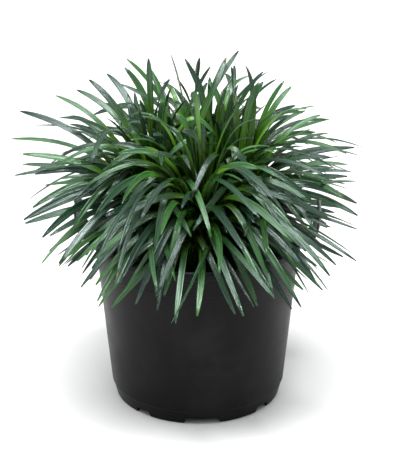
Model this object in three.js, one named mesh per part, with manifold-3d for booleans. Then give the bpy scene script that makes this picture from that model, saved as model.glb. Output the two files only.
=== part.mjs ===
// Dwarf mondo grass growing in a black nursery pot.
// Millimetres, +Z up, standing on z = 0, seen from the front along +Y.
import * as THREE from 'three';
import { mergeVertices } from 'three/addons/utils/BufferGeometryUtils.js';
import Module from 'manifold-3d';

const wasm = await Module();
wasm.setup();

const DEG = Math.PI / 180;

// Pot: turned wall, rim band and foot
const RIM_RADIUS = 75;
const RIM_TOP = 122.1;
const RIM_BAND = 5.6;
const COLLAR_RADIUS = 72.3;
const COLLAR_FOOT_Z = 102.5;
const WALL_TOP_RADIUS = 71.6;
const WALL_FOOT_RADIUS = 62.9;
const FOOT_TOP_Z = 10.7;
const FOOT_TOP_RADIUS = 62.2;
const FOOT_RADIUS = 60.4;
const FOOT_RING = 2.8;
const WALL = 1.6;
const FLOOR_UNDER = 5.4;
const FLOOR_TOP = 7.2;
const POT_FACETS = 40;

// Drainage: notches through the foot ring, holes through the floor
const NOTCH_HEIGHT = 4.3;
const NOTCH_SLOPE = 1.5;
const NOTCH_TURN = 3;
const WIDE_NOTCH = { count: 4, turn: 0, halfWidth: 11.6 };
const NARROW_NOTCH = { count: 4, turn: 47, halfWidth: 5.4 };
const DRAIN_RADIUS = 4;
const DRAIN_CIRCLE = 44;
const DRAIN_FACETS = 12;

// Lifting ears: curved tongues that flare out of the rim on both sides
const EAR_TURN = 3.7;
const EAR_HALF_WIDTH = 16;
const EAR_THICKNESS = 1.8;
const EAR_CORNER = 9;
const EAR_STEPS = 6;
const EAR_CURVE = new THREE.CubicBezierCurve(
  new THREE.Vector2(73.6, 118.3),
  new THREE.Vector2(84, 117.9),
  new THREE.Vector2(89.5, 131),
  new THREE.Vector2(85.4, 149.6),
);

// Soil: fills the pot, with a plain hole for each tuft
const GAP = 0.3;
const SOIL_TOP = 111;
const SOIL_EDGE_TOP = 109.6;
const TUFT_HOLE_DEPTH = 14;

// Crowns: the low stub that the leaves of a tuft grow out of
const CROWN_RADIUS = 16;
const CROWN_RISE = 8;
const CROWN_FACETS = 12;

// Leaves: a curve from root to tip, flat above with a keel below
const LEAF_WIDTH = [4.2, 5.2];
const LEAF_KEEL = 0.85;
const LEAF_SHEATH = 0.62;
const LEAF_WIDEST = 0.5;
const LEAF_TIP_START = 0.7;
const LEAF_TIP_CUT = 0.96;
const LEAF_STATIONS = [0, 0.16, 0.33, 0.55, 0.86, 1];
const LEAF_HIP = 0.05;
const LEAF_KNEE = 0.4;
const LEAF_KNEE_LIFT = 0.95;
const LEAF_BEND = 0.18;
const LEAF_ROLL = 55;
const ROOT_CIRCLE = 14;
const GOLDEN_TURN = Math.PI * (3 - Math.sqrt(5));
const SPIRAL_STRIDE = 17;
const AZIMUTH_JITTER = 110;

// Growth: age 0 is a young upright leaf, age 1 an old one that arches over
const SEED = 12;
const DRAWS = 100;
const AGE_POWER = 0.74;
const AGE_JITTER = 0.1;
const AGE_OUTWARD = 0.05;
const OUTWARD_OFFSET = 30;
const RISE_YOUNG = 87;
const RISE_OLD = 12.5;
const RISE_JITTER = 26;
const DROOP_RIGHT = 10.5;
const DROOP_FRONT = 8;
const REACH_YOUNG = 114;
const REACH_OLD = 84;
const REACH_JITTER = 0.2;
const REACH_INWARD_LOSS = 0.2;
const ARCH = 0.4;
const ARCH_POWER = 1.3;
const ARCH_JITTER = 0.3;
const SPREAD_MIDDLE = -5;
const SPREAD = 122;
const SPREAD_DEPTH = 126;
const TALLEST = 250;
const LOW_TIP = 94;
const LOW_TIP_RADIUS = 90;
const LOW_TIP_SLOPE = 0.4;

// Tufts: crown centre, youngest age, turn, how far leaves stand up first, and number of leaves
const TUFTS = [
  { name: 'tuft_left', x: -28, y: 6.5, youngest: 0, turn: 0, stand: 12, leaves: 103 },
  { name: 'tuft_right', x: 24, y: 10, youngest: 0, turn: 1.3, stand: 12, leaves: 103 },
  { name: 'tuft_front', x: 1, y: -25.5, youngest: 0.1, turn: 2.6, stand: 28, leaves: 97 },
  { name: 'tuft_back', x: 4, y: 37, youngest: 0, turn: 3.9, stand: 12, leaves: 81 },
];

// Leaves with a given tip: how their draws vary
const TIP_DRAWS = 60;
const TIP_ROOT = [0.4, 1];
const TIP_ARCH = 0.55;
const TIP_ARCH_JITTER = 0.3;
const TIP_HEADING_JITTER = 50;
const TIP_ROLL = 0.6;
const FRONT_ARCH = 0.5;

// Tips of the leaves that stand out of the plant's outline: tuft, x, y, z
const OUTLINE_TIPS = [
  [0, -131, 12, 188], [0, -126, 26, 204], [0, -102, 44, 210], [0, -88, 58, 210],
  [0, -117, 30, 192], [0, -121, -12, 185], [0, -128, -6, 167], [0, -119, -34, 142],
  [0, -101, -52, 129], [2, -81, -70, 129], [2, -68, -80, 116], [0, -66, 62, 221],
  [3, -51, 52, 235], [0, -52, 40, 232], [1, -54, 22, 225], [0, -34, 14, 246],
  [3, -19, 30, 245], [1, -9, 38, 239], [0, 9, 8, 242], [0, 20, 24, 244],
  [0, 29, 34, 246], [0, 36, 16, 251], [3, 47, 50, 226], [3, 56, 34, 225],
  [1, 61, 24, 227], [1, 67, 40, 218], [1, 62, -4, 209], [1, 88, 36, 198],
  [1, 93, 22, 189], [1, 105, 0, 173], [1, 107, -12, 172], [1, 117, -24, 145],
  [1, 110, -40, 140], [1, 108, -58, 124], [2, 93, -72, 127], [2, 71, -86, 130],
  [2, 63, -86, 101], [2, 52, -90, 94], [2, 40, -92, 106], [2, 25, -96, 102],
  [2, -22, -90, 113], [2, -49, -88, 114], [2, -58, -84, 101], [2, -35, -88, 121],
];

// Tips of the leaves that arch over in front: tuft, x, y, z
const FRONT_TIPS = [
  [2, -53, -62, 154], [2, -50, -72, 151], [0, -62, -45, 162], [1, -27, -20, 178],
  [1, -25, -52, 168], [0, 1, -40, 174], [3, 14, -16, 170], [1, 26, -25, 178],
  [1, 33, -38, 175], [2, 38, -50, 178], [1, -4, -58, 169], [1, -3, -74, 153],
  [0, -4, -80, 151], [0, 9, -84, 152], [1, 31, -80, 151], [1, 78, -50, 139],
  [1, 80, -30, 147], [2, 63, -72, 139], [2, 46, -90, 126], [2, -28, -82, 141],
  [2, -20, -92, 125], [0, -73, -62, 112], [0, -79, -52, 112], [0, 13, -4, 195],
  [1, 71, -20, 170],
];

// Clearances that every leaf keeps
const PROBES = 160;
const PROBE_ACROSS = [-1, -0.6, -0.2, 0.2, 0.6, 1];
const RIM_CLEAR_IN = 66;
const RIM_CLEAR_OUT = 77;
const RIM_CLEAR_TOP = 123.6;
const SOIL_CLEAR = 1.5;
const ROOT_FREE_LENGTH = 8;
const CROSSING_LENGTH = 26;
const EAR_CLEAR = { near: 66, far: 91, halfWidth: 19, top: 153 };
const CELL = 1;
const GRID_LOW = [-180, -180, 60];
const GRID_SIZE = [360, 360, 210];

const lerp = THREE.MathUtils.lerp;
const clamp = THREE.MathUtils.clamp;

/** Seeded random numbers, the same on every run. */
class SeededDraw {
  constructor(seed) {
    this.state = seed >>> 0;
  }

  next() {
    this.state = (this.state + 0x6d2b79f5) >>> 0;
    let t = this.state;
    t = Math.imul(t ^ (t >>> 15), t | 1);
    t ^= t + Math.imul(t ^ (t >>> 7), t | 61);
    return ((t ^ (t >>> 14)) >>> 0) / 4294967296;
  }

  span(low, high) {
    return low + (high - low) * this.next();
  }
}

/** Closed solid from a geometry whose faces meet along their edges. */
function solidOf(geometry) {
  const bare = geometry.clone();
  bare.deleteAttribute('normal');
  bare.deleteAttribute('uv');
  const welded = mergeVertices(bare, 1e-4);
  return new wasm.Manifold(new wasm.Mesh({
    numProp: 3,
    vertProperties: new Float32Array(welded.attributes.position.array),
    triVerts: new Uint32Array(welded.index.array),
  }));
}

/** Flat-shaded geometry of a solid. */
function geometryOf(solid) {
  const mesh = solid.getMesh();
  const shared = new THREE.BufferGeometry();
  shared.setAttribute('position', new THREE.BufferAttribute(new Float32Array(mesh.vertProperties), 3));
  shared.setIndex(new THREE.BufferAttribute(new Uint32Array(mesh.triVerts), 1));
  const flat = shared.toNonIndexed();
  flat.computeVertexNormals();
  return flat;
}

/** Turned solid: a profile of [radius, z] points, outside first and upwards. */
function turned(profile, facets) {
  const points = profile.map(([radius, z]) => new THREE.Vector2(radius, z));
  const geometry = new THREE.LatheGeometry(points, facets);
  geometry.rotateX(Math.PI / 2);
  return solidOf(geometry);
}

/** Upright cylinder from z low to z high. */
function post(radius, low, high, facets, x = 0, y = 0) {
  const geometry = new THREE.CylinderGeometry(radius, radius, high - low, facets);
  geometry.rotateX(Math.PI / 2);
  geometry.translate(x, y, (low + high) / 2);
  return solidOf(geometry);
}

/** Prism with a flat outline of (across, up), pushed outwards from near to far at a bearing. */
function radialPrism(outline, near, far, bearing) {
  const geometry = new THREE.ExtrudeGeometry(outline, {
    depth: far - near,
    bevelEnabled: false,
    curveSegments: 6,
  });
  geometry.translate(0, 0, near);
  geometry.rotateX(Math.PI / 2);
  geometry.rotateZ(bearing * DEG);
  return solidOf(geometry);
}

/** Outer radius of the plain wall at a height. */
function wallRadius(z) {
  const up = (z - FOOT_TOP_Z) / (COLLAR_FOOT_Z - FOOT_TOP_Z);
  return lerp(WALL_FOOT_RADIUS, WALL_TOP_RADIUS, up);
}

/** The pot's turned body, from the foot ring up to the rim and down the inside. */
function potBody() {
  const bandFoot = RIM_TOP - RIM_BAND;
  return turned([
    [FOOT_RADIUS - FOOT_RING, 0],
    [FOOT_RADIUS - 0.9, 0],
    [FOOT_RADIUS, 0.9],
    [FOOT_TOP_RADIUS, FOOT_TOP_Z - 0.7],
    [WALL_FOOT_RADIUS, FOOT_TOP_Z],
    [WALL_TOP_RADIUS, COLLAR_FOOT_Z],
    [COLLAR_RADIUS, COLLAR_FOOT_Z + 0.5],
    [COLLAR_RADIUS + 0.4, bandFoot],
    [RIM_RADIUS - 0.5, bandFoot],
    [RIM_RADIUS, bandFoot + 0.7],
    [RIM_RADIUS, RIM_TOP - 0.9],
    [RIM_RADIUS - 0.9, RIM_TOP],
    [COLLAR_RADIUS - 0.2, RIM_TOP],
    [COLLAR_RADIUS - WALL + 0.3, RIM_TOP - 1.2],
    [COLLAR_RADIUS - WALL, COLLAR_FOOT_Z + 2],
    [WALL_TOP_RADIUS - WALL, COLLAR_FOOT_Z],
    [WALL_FOOT_RADIUS - WALL, FOOT_TOP_Z + 1.5],
    [FOOT_TOP_RADIUS - WALL, FLOOR_TOP + 1.2],
    [FOOT_TOP_RADIUS - WALL - 1.2, FLOOR_TOP],
    [0, FLOOR_TOP],
    [0, FLOOR_UNDER],
    [FOOT_RADIUS - FOOT_RING - 0.6, FLOOR_UNDER],
    [FOOT_RADIUS - FOOT_RING, FLOOR_UNDER - 0.6],
    [FOOT_RADIUS - FOOT_RING, 0],
  ], POT_FACETS);
}

/** Both lifting ears: a flared ring, kept only behind two round-cornered outlines. */
function ears() {
  const outer = [];
  const inner = [];
  for (let step = 0; step <= EAR_STEPS; step += 1) {
    const point = EAR_CURVE.getPoint(step / EAR_STEPS);
    const along = EAR_CURVE.getTangent(step / EAR_STEPS);
    const half = EAR_THICKNESS / 2;
    outer.push([point.x + along.y * half, point.y - along.x * half]);
    inner.unshift([point.x - along.y * half, point.y + along.x * half]);
  }
  const ring = turned([...outer, ...inner, outer[0]], POT_FACETS);

  const top = EAR_CURVE.v3.y + EAR_THICKNESS;
  const low = EAR_CURVE.v0.y - 2 * EAR_THICKNESS;
  const tongue = new THREE.Shape();
  tongue.moveTo(-EAR_HALF_WIDTH, low);
  tongue.lineTo(EAR_HALF_WIDTH, low);
  tongue.absarc(EAR_HALF_WIDTH - EAR_CORNER, top - EAR_CORNER, EAR_CORNER, 0, Math.PI / 2);
  tongue.absarc(EAR_CORNER - EAR_HALF_WIDTH, top - EAR_CORNER, EAR_CORNER, Math.PI / 2, Math.PI);
  const near = RIM_RADIUS - 4;
  const far = RIM_RADIUS + 20;
  const right = radialPrism(tongue, near, far, 90 - EAR_TURN);
  const left = radialPrism(tongue, near, far, -90 - EAR_TURN);
  return ring.intersect(right.add(left));
}

/** Cutters for one set of notches, evenly spaced round the foot ring. */
function notchCutters({ count, turn, halfWidth }) {
  const outline = new THREE.Shape([
    new THREE.Vector2(-halfWidth - NOTCH_SLOPE, -1),
    new THREE.Vector2(halfWidth + NOTCH_SLOPE, -1),
    new THREE.Vector2(halfWidth, NOTCH_HEIGHT),
    new THREE.Vector2(-halfWidth, NOTCH_HEIGHT),
  ]);
  const cutters = [];
  for (let i = 0; i < count; i += 1) {
    const bearing = NOTCH_TURN + turn + (360 * i) / count;
    cutters.push(radialPrism(outline, FOOT_RADIUS - 10, FOOT_RADIUS + 5, bearing));
  }
  return cutters;
}

/** Cutters for the drain holes: one in the middle and one behind each wide notch. */
function drainCutters() {
  const cutters = [post(DRAIN_RADIUS, 0, 2 * FLOOR_TOP, DRAIN_FACETS)];
  for (let i = 0; i < WIDE_NOTCH.count; i += 1) {
    const bearing = (NOTCH_TURN + (360 * i) / WIDE_NOTCH.count) * DEG;
    const x = DRAIN_CIRCLE * Math.sin(bearing);
    const y = -DRAIN_CIRCLE * Math.cos(bearing);
    cutters.push(post(DRAIN_RADIUS, 0, 2 * FLOOR_TOP, DRAIN_FACETS, x, y));
  }
  return cutters;
}

function buildPot() {
  const cutters = [...notchCutters(WIDE_NOTCH), ...notchCutters(NARROW_NOTCH), ...drainCutters()];
  return cutters.reduce((solid, cutter) => solid.subtract(cutter), potBody().add(ears()));
}

function buildSoil() {
  const fill = turned([
    [0, FLOOR_TOP + GAP],
    [FOOT_TOP_RADIUS - WALL - 1.5, FLOOR_TOP + GAP],
    [FOOT_TOP_RADIUS - WALL - GAP, FLOOR_TOP + 1.7],
    [wallRadius(FOOT_TOP_Z + 2.5) - WALL - GAP, FOOT_TOP_Z + 2.5],
    [WALL_TOP_RADIUS - WALL - GAP, COLLAR_FOOT_Z],
    [COLLAR_RADIUS - WALL - GAP, COLLAR_FOOT_Z + 2.4],
    [COLLAR_RADIUS - WALL - GAP, SOIL_EDGE_TOP],
    [COLLAR_RADIUS - WALL - 8, SOIL_TOP - 0.4],
    [CROWN_RADIUS * 3, SOIL_TOP],
    [0, SOIL_TOP],
  ], POT_FACETS);
  return TUFTS.reduce((solid, tuft) => {
    const radius = CROWN_RADIUS + GAP;
    const low = SOIL_TOP - TUFT_HOLE_DEPTH;
    return solid.subtract(post(radius, low, SOIL_TOP + 5, CROWN_FACETS, tuft.x, tuft.y));
  }, fill);
}

/** Half the blade's width at k along the leaf: narrow sheath, even blade, blunt tip. */
function halfWidth(width, k) {
  const blade = lerp(LEAF_SHEATH, 1, Math.sin((clamp(k / LEAF_WIDEST, 0, 1) * Math.PI) / 2));
  const tip = clamp((k - LEAF_TIP_START) / (1 - LEAF_TIP_START), 0, 1);
  return (width / 2) * blade * Math.sqrt(1 - LEAF_TIP_CUT * tip * tip);
}

/** Control points of a leaf that rises from its root, arches over and ends at its tip. */
function makeLeaf(root, tip, arch, bend, roll, width) {
  const run = new THREE.Vector3(tip.x - root.x, tip.y - root.y, 0);
  const climb = tip.z - root.z;
  const reach = Math.hypot(run.length(), climb);
  const side = new THREE.Vector3(-run.y, run.x, 0).divideScalar(Math.max(run.length(), 1e-6));
  const lift = reach * arch;
  const first = root.clone().addScaledVector(run, LEAF_HIP).addScaledVector(side, bend * reach * 0.5);
  first.z += 0.36 * Math.max(climb, 0) + lift;
  const second = root.clone().addScaledVector(run, LEAF_KNEE).addScaledVector(side, bend * reach);
  second.z += 0.7 * climb + lift * LEAF_KNEE_LIFT;
  const curve = new THREE.CubicBezierCurve3(root, first, second, tip);
  return { curve, side, roll, width };
}

/** The blade at k along a leaf: its middle, heading, direction across and half width. */
function bladeAt(leaf, k) {
  const { v0, v1, v2, v3 } = leaf.curve;
  const point = leaf.curve.getPoint(k);
  const heading = new THREE.Vector3()
    .addScaledVector(v1.clone().sub(v0), 3 * (1 - k) ** 2)
    .addScaledVector(v2.clone().sub(v1), 6 * (1 - k) * k)
    .addScaledVector(v3.clone().sub(v2), 3 * k * k)
    .normalize();
  const level = Math.hypot(heading.x, heading.y);
  const flat = level > 0.05
    ? new THREE.Vector3(-heading.y, heading.x, 0).divideScalar(level)
    : leaf.side.clone();
  const turn = clamp((level - 0.1) / 0.3, 0, 1);
  const across = flat.multiplyScalar(turn).addScaledVector(leaf.side, 1 - turn);
  across.addScaledVector(heading, -across.dot(heading)).normalize();
  const under = across.clone().cross(heading);
  const angle = leaf.roll * k;
  across.multiplyScalar(Math.cos(angle)).addScaledVector(under, Math.sin(angle));
  return { point, heading, across, half: halfWidth(leaf.width, k) };
}

/** Leaf k of a tuft, from the young middle out along the crown's spiral. */
function drawLeaf(tuft, draw, k) {
  const part = (k + 0.5) / tuft.leaves;
  const turn = k * GOLDEN_TURN + tuft.turn;
  const azimuth = turn + draw.span(-AZIMUTH_JITTER, AZIMUTH_JITTER) * DEG;
  const bearing = Math.atan2(tuft.x, -tuft.y);
  const offset = Math.hypot(tuft.x, tuft.y);
  const outward = Math.cos(azimuth - bearing) * Math.min(1, offset / OUTWARD_OFFSET);
  const rank = lerp(tuft.youngest, 1, part ** AGE_POWER);
  const age = clamp(rank + AGE_OUTWARD * outward + draw.span(-AGE_JITTER, AGE_JITTER), 0, 1);
  const right = Math.sin(azimuth);
  const front = Math.cos(azimuth);
  const rise = (lerp(RISE_YOUNG, RISE_OLD, age) + draw.span(-RISE_JITTER, RISE_JITTER)
    - DROOP_RIGHT * right * age - DROOP_FRONT * Math.max(0, front) * age) * DEG;
  const reach = lerp(REACH_YOUNG, REACH_OLD, age) * (1 + draw.span(-REACH_JITTER, REACH_JITTER))
    * (1 - REACH_INWARD_LOSS * Math.max(0, -outward));
  const arch = Math.max(0, ARCH * age ** ARCH_POWER + draw.span(-ARCH_JITTER, ARCH_JITTER) * age)
    + tuft.stand / Math.max(reach, 1);
  const bend = draw.span(-1, 1) * LEAF_BEND;
  const roll = draw.span(-1, 1) * LEAF_ROLL * DEG;
  const width = draw.span(...LEAF_WIDTH);
  const start = ROOT_CIRCLE * Math.sqrt(part);
  const root = new THREE.Vector3(
    tuft.x + start * Math.sin(turn),
    tuft.y - start * Math.cos(turn),
    SOIL_TOP,
  );
  const level = reach * Math.cos(rise);
  const tip = root.clone().add(new THREE.Vector3(level * right, -level * front, reach * Math.sin(rise)));
  return makeLeaf(root, tip, arch, bend, roll, width);
}

/** A leaf of a tuft that ends at a given tip: the plainest one, or a drawn variation of it. */
function leafToTip(tuft, draw, [x, y, z], arch, varied) {
  const rise = Math.atan2(z - SOIL_TOP, Math.hypot(x - tuft.x, y - tuft.y)) / DEG;
  const age = clamp((RISE_YOUNG - rise) / (RISE_YOUNG - RISE_OLD), 0, 1);
  const heading = Math.atan2(x - tuft.x, tuft.y - y) + varied * draw.span(-1, 1) * TIP_HEADING_JITTER * DEG;
  const fullArch = (arch ?? TIP_ARCH * ARCH * age ** ARCH_POWER)
    * (1 + varied * draw.span(-1, 1) * TIP_ARCH_JITTER);
  const bend = varied * draw.span(-1, 1) * LEAF_BEND;
  const roll = varied * draw.span(-1, 1) * LEAF_ROLL * TIP_ROLL * DEG;
  const width = draw.span(...LEAF_WIDTH);
  const start = ROOT_CIRCLE * lerp(...TIP_ROOT, age);
  const root = new THREE.Vector3(
    tuft.x + start * Math.sin(heading),
    tuft.y - start * Math.cos(heading),
    SOIL_TOP,
  );
  const tip = new THREE.Vector3(x, y, z);
  return makeLeaf(root, tip, fullArch + tuft.stand / root.distanceTo(tip), bend, roll, width);
}

/** Whether a probe on a leaf stays off the rim, the soil and the ears. */
function clearOfPot(x, y, z, length) {
  const radius = Math.hypot(x, y);
  if (radius > RIM_CLEAR_IN && radius < RIM_CLEAR_OUT && z < RIM_CLEAR_TOP) return false;
  if (radius <= RIM_CLEAR_IN && z < SOIL_TOP + SOIL_CLEAR && length > ROOT_FREE_LENGTH) return false;
  const beside = Math.abs(y + x * Math.tan(EAR_TURN * DEG));
  const inEar = Math.abs(x) > EAR_CLEAR.near && Math.abs(x) < EAR_CLEAR.far
    && beside < EAR_CLEAR.halfWidth && z < EAR_CLEAR.top;
  return !inEar;
}

/** Flat-faceted form of a leaf: the blade's middle, edge offset and keel at each station. */
function facetsOf(leaf) {
  const last = LEAF_STATIONS.length - 1;
  return LEAF_STATIONS.map((k, i) => {
    const { point, heading, across, half } = bladeAt(leaf, k);
    const keel = across.clone().cross(heading).multiplyScalar(i < last ? LEAF_KEEL : 0);
    return { point, edge: across.multiplyScalar(half), keel };
  });
}

/** Space taken by leaves, cell by cell: the tuft near a cell, and blades in it. */
class Space {
  constructor() {
    this.near = new Uint8Array(GRID_SIZE[0] * GRID_SIZE[1] * GRID_SIZE[2]);
    this.blade = new Uint8Array(this.near.length);
  }

  /** Probes of a leaf with their cells, or null where it leaves the grid or meets the pot. */
  probe(leaf) {
    const facets = facetsOf(leaf);
    const probes = [];
    let length = 0;
    let before = null;
    let facet = 0;
    for (let i = 0; i < PROBES; i += 1) {
      const k = i / (PROBES - 1);
      while (facet < facets.length - 2 && k >= LEAF_STATIONS[facet + 1]) facet += 1;
      const part = (k - LEAF_STATIONS[facet]) / (LEAF_STATIONS[facet + 1] - LEAF_STATIONS[facet]);
      const from = facets[facet];
      const to = facets[facet + 1];
      const point = from.point.clone().lerp(to.point, part);
      const edge = from.edge.clone().lerp(to.edge, part);
      const keel = from.keel.clone().lerp(to.keel, part).add(point);
      if (before) length += point.distanceTo(before);
      before = point;
      const places = PROBE_ACROSS.map((side) => point.clone().addScaledVector(edge, side));
      for (const place of [...places, keel]) {
        if (!clearOfPot(place.x, place.y, place.z, length)) return null;
        const cell = place.toArray().map((value, axis) => Math.floor((value - GRID_LOW[axis]) / CELL));
        if (cell.some((value, axis) => value < 1 || value >= GRID_SIZE[axis] - 1)) return null;
        const index = (cell[0] * GRID_SIZE[1] + cell[1]) * GRID_SIZE[2] + cell[2];
        probes.push({ index, length });
      }
    }
    return probes;
  }

  /** Takes a leaf's cells for a tuft, unless another leaf is in the way. */
  claim(leaf, owner) {
    const probes = this.probe(leaf);
    if (!probes) return false;
    for (const { index, length } of probes) {
      if (this.near[index] && this.near[index] !== owner) return false;
      if (this.blade[index] && length > CROSSING_LENGTH) return false;
    }
    for (const { index } of probes) {
      this.blade[index] = 1;
      for (let i = 0; i < 27; i += 1) {
        const stepX = (i % 3) - 1;
        const stepY = (Math.floor(i / 3) % 3) - 1;
        const stepZ = Math.floor(i / 9) - 1;
        this.near[index + (stepX * GRID_SIZE[1] + stepY) * GRID_SIZE[2] + stepZ] = owner;
      }
    }
    return true;
  }
}

/** Whether a drawn leaf ends inside the spread, below the top and above the lowest tips. */
function insideSpread(leaf) {
  const tip = leaf.curve.v3;
  const beyond = Math.max(0, Math.hypot(tip.x, tip.y) - LOW_TIP_RADIUS);
  const lowest = LOW_TIP + LOW_TIP_SLOPE * beyond;
  const within = Math.abs(tip.x - SPREAD_MIDDLE) <= SPREAD && Math.abs(tip.y) <= SPREAD_DEPTH;
  return within && tip.z <= TALLEST && tip.z >= lowest;
}

/** Leaves of every tuft: those with a given tip first, then drawn ones in turn. */
function growLeaves() {
  const space = new Space();
  const grown = TUFTS.map(() => []);
  const given = [
    ...OUTLINE_TIPS.map((tip) => ({ tip })),
    ...FRONT_TIPS.map((tip) => ({ tip, arch: FRONT_ARCH })),
  ];
  given.forEach(({ tip: [owner, ...tip], arch }, k) => {
    const draw = new SeededDraw(SEED * 7919 + TUFTS.length * 104729 + k * 1299709);
    for (let attempt = 0; attempt < TIP_DRAWS; attempt += 1) {
      const leaf = leafToTip(TUFTS[owner], draw, tip, arch, Math.min(attempt, 1));
      if (space.claim(leaf, owner + 1)) {
        grown[owner].push(leaf);
        return;
      }
    }
  });
  const rounds = Math.max(...TUFTS.map((tuft) => tuft.leaves));
  for (let round = 0; round < rounds; round += 1) {
    TUFTS.forEach((tuft, owner) => {
      if (round >= tuft.leaves) return;
      const k = (round * SPIRAL_STRIDE) % tuft.leaves;
      const draw = new SeededDraw(SEED * 7919 + owner * 104729 + k * 1299709);
      for (let attempt = 0; attempt < DRAWS; attempt += 1) {
        const leaf = drawLeaf(tuft, draw, k);
        if (insideSpread(leaf) && space.claim(leaf, owner + 1)) {
          grown[owner].push(leaf);
          return;
        }
      }
    });
  }
  return grown;
}

/** Solid blade: a flat top and a keel at each station, closed at the root and at the tip. */
function bladeSolid(leaf) {
  const facets = facetsOf(leaf);
  const tip = facets.pop();
  const places = facets.flatMap(({ point, edge, keel }) => [
    point.clone().add(edge),
    point.clone().sub(edge),
    point.clone().add(keel),
  ]);
  places.push(tip.point);
  const last = facets.length - 1;
  const corners = [0, 2, 1];
  for (let ring = 0; ring <= last; ring += 1) {
    for (let i = 0; i < 3; i += 1) {
      const a = 3 * ring + i;
      const b = 3 * ring + ((i + 1) % 3);
      if (ring < last) corners.push(a, b, b + 3, a, b + 3, a + 3);
      else corners.push(a, b, places.length - 1);
    }
  }
  const geometry = new THREE.BufferGeometry();
  const numbers = places.flatMap((place) => place.toArray());
  geometry.setAttribute('position', new THREE.Float32BufferAttribute(numbers, 3));
  geometry.setIndex(corners);
  return solidOf(geometry);
}

/** Crown stub of a tuft, standing in its hole in the soil. */
function crown(tuft) {
  const foot = SOIL_TOP - TUFT_HOLE_DEPTH + GAP;
  const stub = turned([
    [0, foot],
    [CROWN_RADIUS - 3, foot],
    [CROWN_RADIUS, foot + 4],
    [CROWN_RADIUS, SOIL_TOP + 1.5],
    [CROWN_RADIUS * 0.86, SOIL_TOP + CROWN_RISE * 0.6],
    [CROWN_RADIUS * 0.5, SOIL_TOP + CROWN_RISE * 0.92],
    [0, SOIL_TOP + CROWN_RISE],
  ], CROWN_FACETS);
  return stub.translate(tuft.x, tuft.y, 0);
}

function buildTuft(tuft, leaves) {
  return leaves.reduce((solid, leaf) => solid.add(bladeSolid(leaf)), crown(tuft));
}

const POT_PLASTIC = new THREE.MeshStandardMaterial({ color: 0x1d1d1f, roughness: 0.55 });
const SOIL_BROWN = new THREE.MeshStandardMaterial({ color: 0x241a14, roughness: 1 });
const LEAF_GREEN = new THREE.MeshStandardMaterial({ color: 0x24452c, roughness: 0.45 });

const solids = [['pot', buildPot(), POT_PLASTIC], ['soil', buildSoil(), SOIL_BROWN]];
growLeaves().forEach((leaves, owner) => {
  solids.push([TUFTS[owner].name, buildTuft(TUFTS[owner], leaves), LEAF_GREEN]);
});

const plant = new THREE.Group();
plant.name = 'potted_dwarf_mondo_grass';
for (const [name, solid, material] of solids) {
  const mesh = new THREE.Mesh(geometryOf(solid), material.clone());
  mesh.name = name;
  plant.add(mesh);
}

// Origin: under the middle of the whole plant's width and depth
const middle = new THREE.Box3().setFromObject(plant).getCenter(new THREE.Vector3());
plant.children.forEach((mesh) => mesh.geometry.translate(-middle.x, -middle.y, 0));

export default plant;
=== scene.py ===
"""Dwarf mondo grass in a black nursery pot, dressed for a studio picture.

The plant is worked out in millimetres from the pot's axis, with z = 0 on the ground,
-Y to the front and +X to the right. Meshes are made in metres, in the frame's own place.
"""

import logging
import math
from dataclasses import dataclass, field, replace
from enum import Enum

import bpy
import numpy as np
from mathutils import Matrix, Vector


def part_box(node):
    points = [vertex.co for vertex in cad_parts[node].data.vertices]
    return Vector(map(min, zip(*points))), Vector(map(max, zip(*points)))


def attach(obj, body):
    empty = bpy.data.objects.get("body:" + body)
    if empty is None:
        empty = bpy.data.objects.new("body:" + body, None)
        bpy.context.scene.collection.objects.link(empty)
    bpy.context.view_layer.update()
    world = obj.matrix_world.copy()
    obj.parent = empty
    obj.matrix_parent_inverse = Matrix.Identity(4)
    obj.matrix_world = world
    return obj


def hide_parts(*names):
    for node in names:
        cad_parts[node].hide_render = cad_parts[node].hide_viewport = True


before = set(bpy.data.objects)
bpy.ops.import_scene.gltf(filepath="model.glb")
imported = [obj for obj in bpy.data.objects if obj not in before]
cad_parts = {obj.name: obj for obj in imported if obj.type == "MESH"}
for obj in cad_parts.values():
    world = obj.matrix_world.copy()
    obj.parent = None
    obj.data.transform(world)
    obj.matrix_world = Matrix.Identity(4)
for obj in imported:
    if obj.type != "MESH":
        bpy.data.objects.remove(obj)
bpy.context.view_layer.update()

LOG = logging.getLogger("mondo_grass")
MM = 0.001
GOLDEN_TURN = math.pi * (3 - math.sqrt(5))
WORD = 0xFFFFFFFF
MIX_STEP = 0x6D2B79F5
SEED_STEP = 7919
TUFT_STEP = 104729
LEAF_STEP = 1299709

Array = np.ndarray
Colour = tuple[float, float, float]
Socket = bpy.types.NodeSocket


class Layer(Enum):
    """Layers of leaves: main ones, straighter ones between, young, underneath, and dead ones."""

    MAIN = "main"
    MORE = "more"
    YOUNG = "young"
    UNDER = "under"
    DEAD = "dead"


# Numbers and curves


def seeded_numbers(seed: int, count: int) -> Array:
    """Seeded numbers from 0 to 1: a counter in even steps, mixed by shifts and products.

    Args:
        seed: Any whole number.
        count: How many numbers are drawn.

    Returns:
        The numbers, in the order in which they are drawn.
    """
    word = np.uint64(WORD)
    steps = np.arange(1, count + 1, dtype=np.uint64)
    mixed = (np.uint64(seed & WORD) + steps * np.uint64(MIX_STEP)) & word
    mixed = ((mixed ^ (mixed >> np.uint64(15))) * (mixed | np.uint64(1))) & word
    stirred = ((mixed ^ (mixed >> np.uint64(7))) * (mixed | np.uint64(61))) & word
    mixed = mixed ^ ((mixed + stirred) & word)
    return (mixed ^ (mixed >> np.uint64(14))).astype(float) / (WORD + 1)


def blend(low: Array | float, high: Array | float, share: Array | float) -> Array | float:
    """Value a share of the way from low to high."""
    return low + (high - low) * share


def unit(vectors: Array) -> Array:
    """Vectors of length one along the last axis."""
    return vectors / np.maximum(np.linalg.norm(vectors, axis=-1, keepdims=True), 1e-9)


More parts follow.
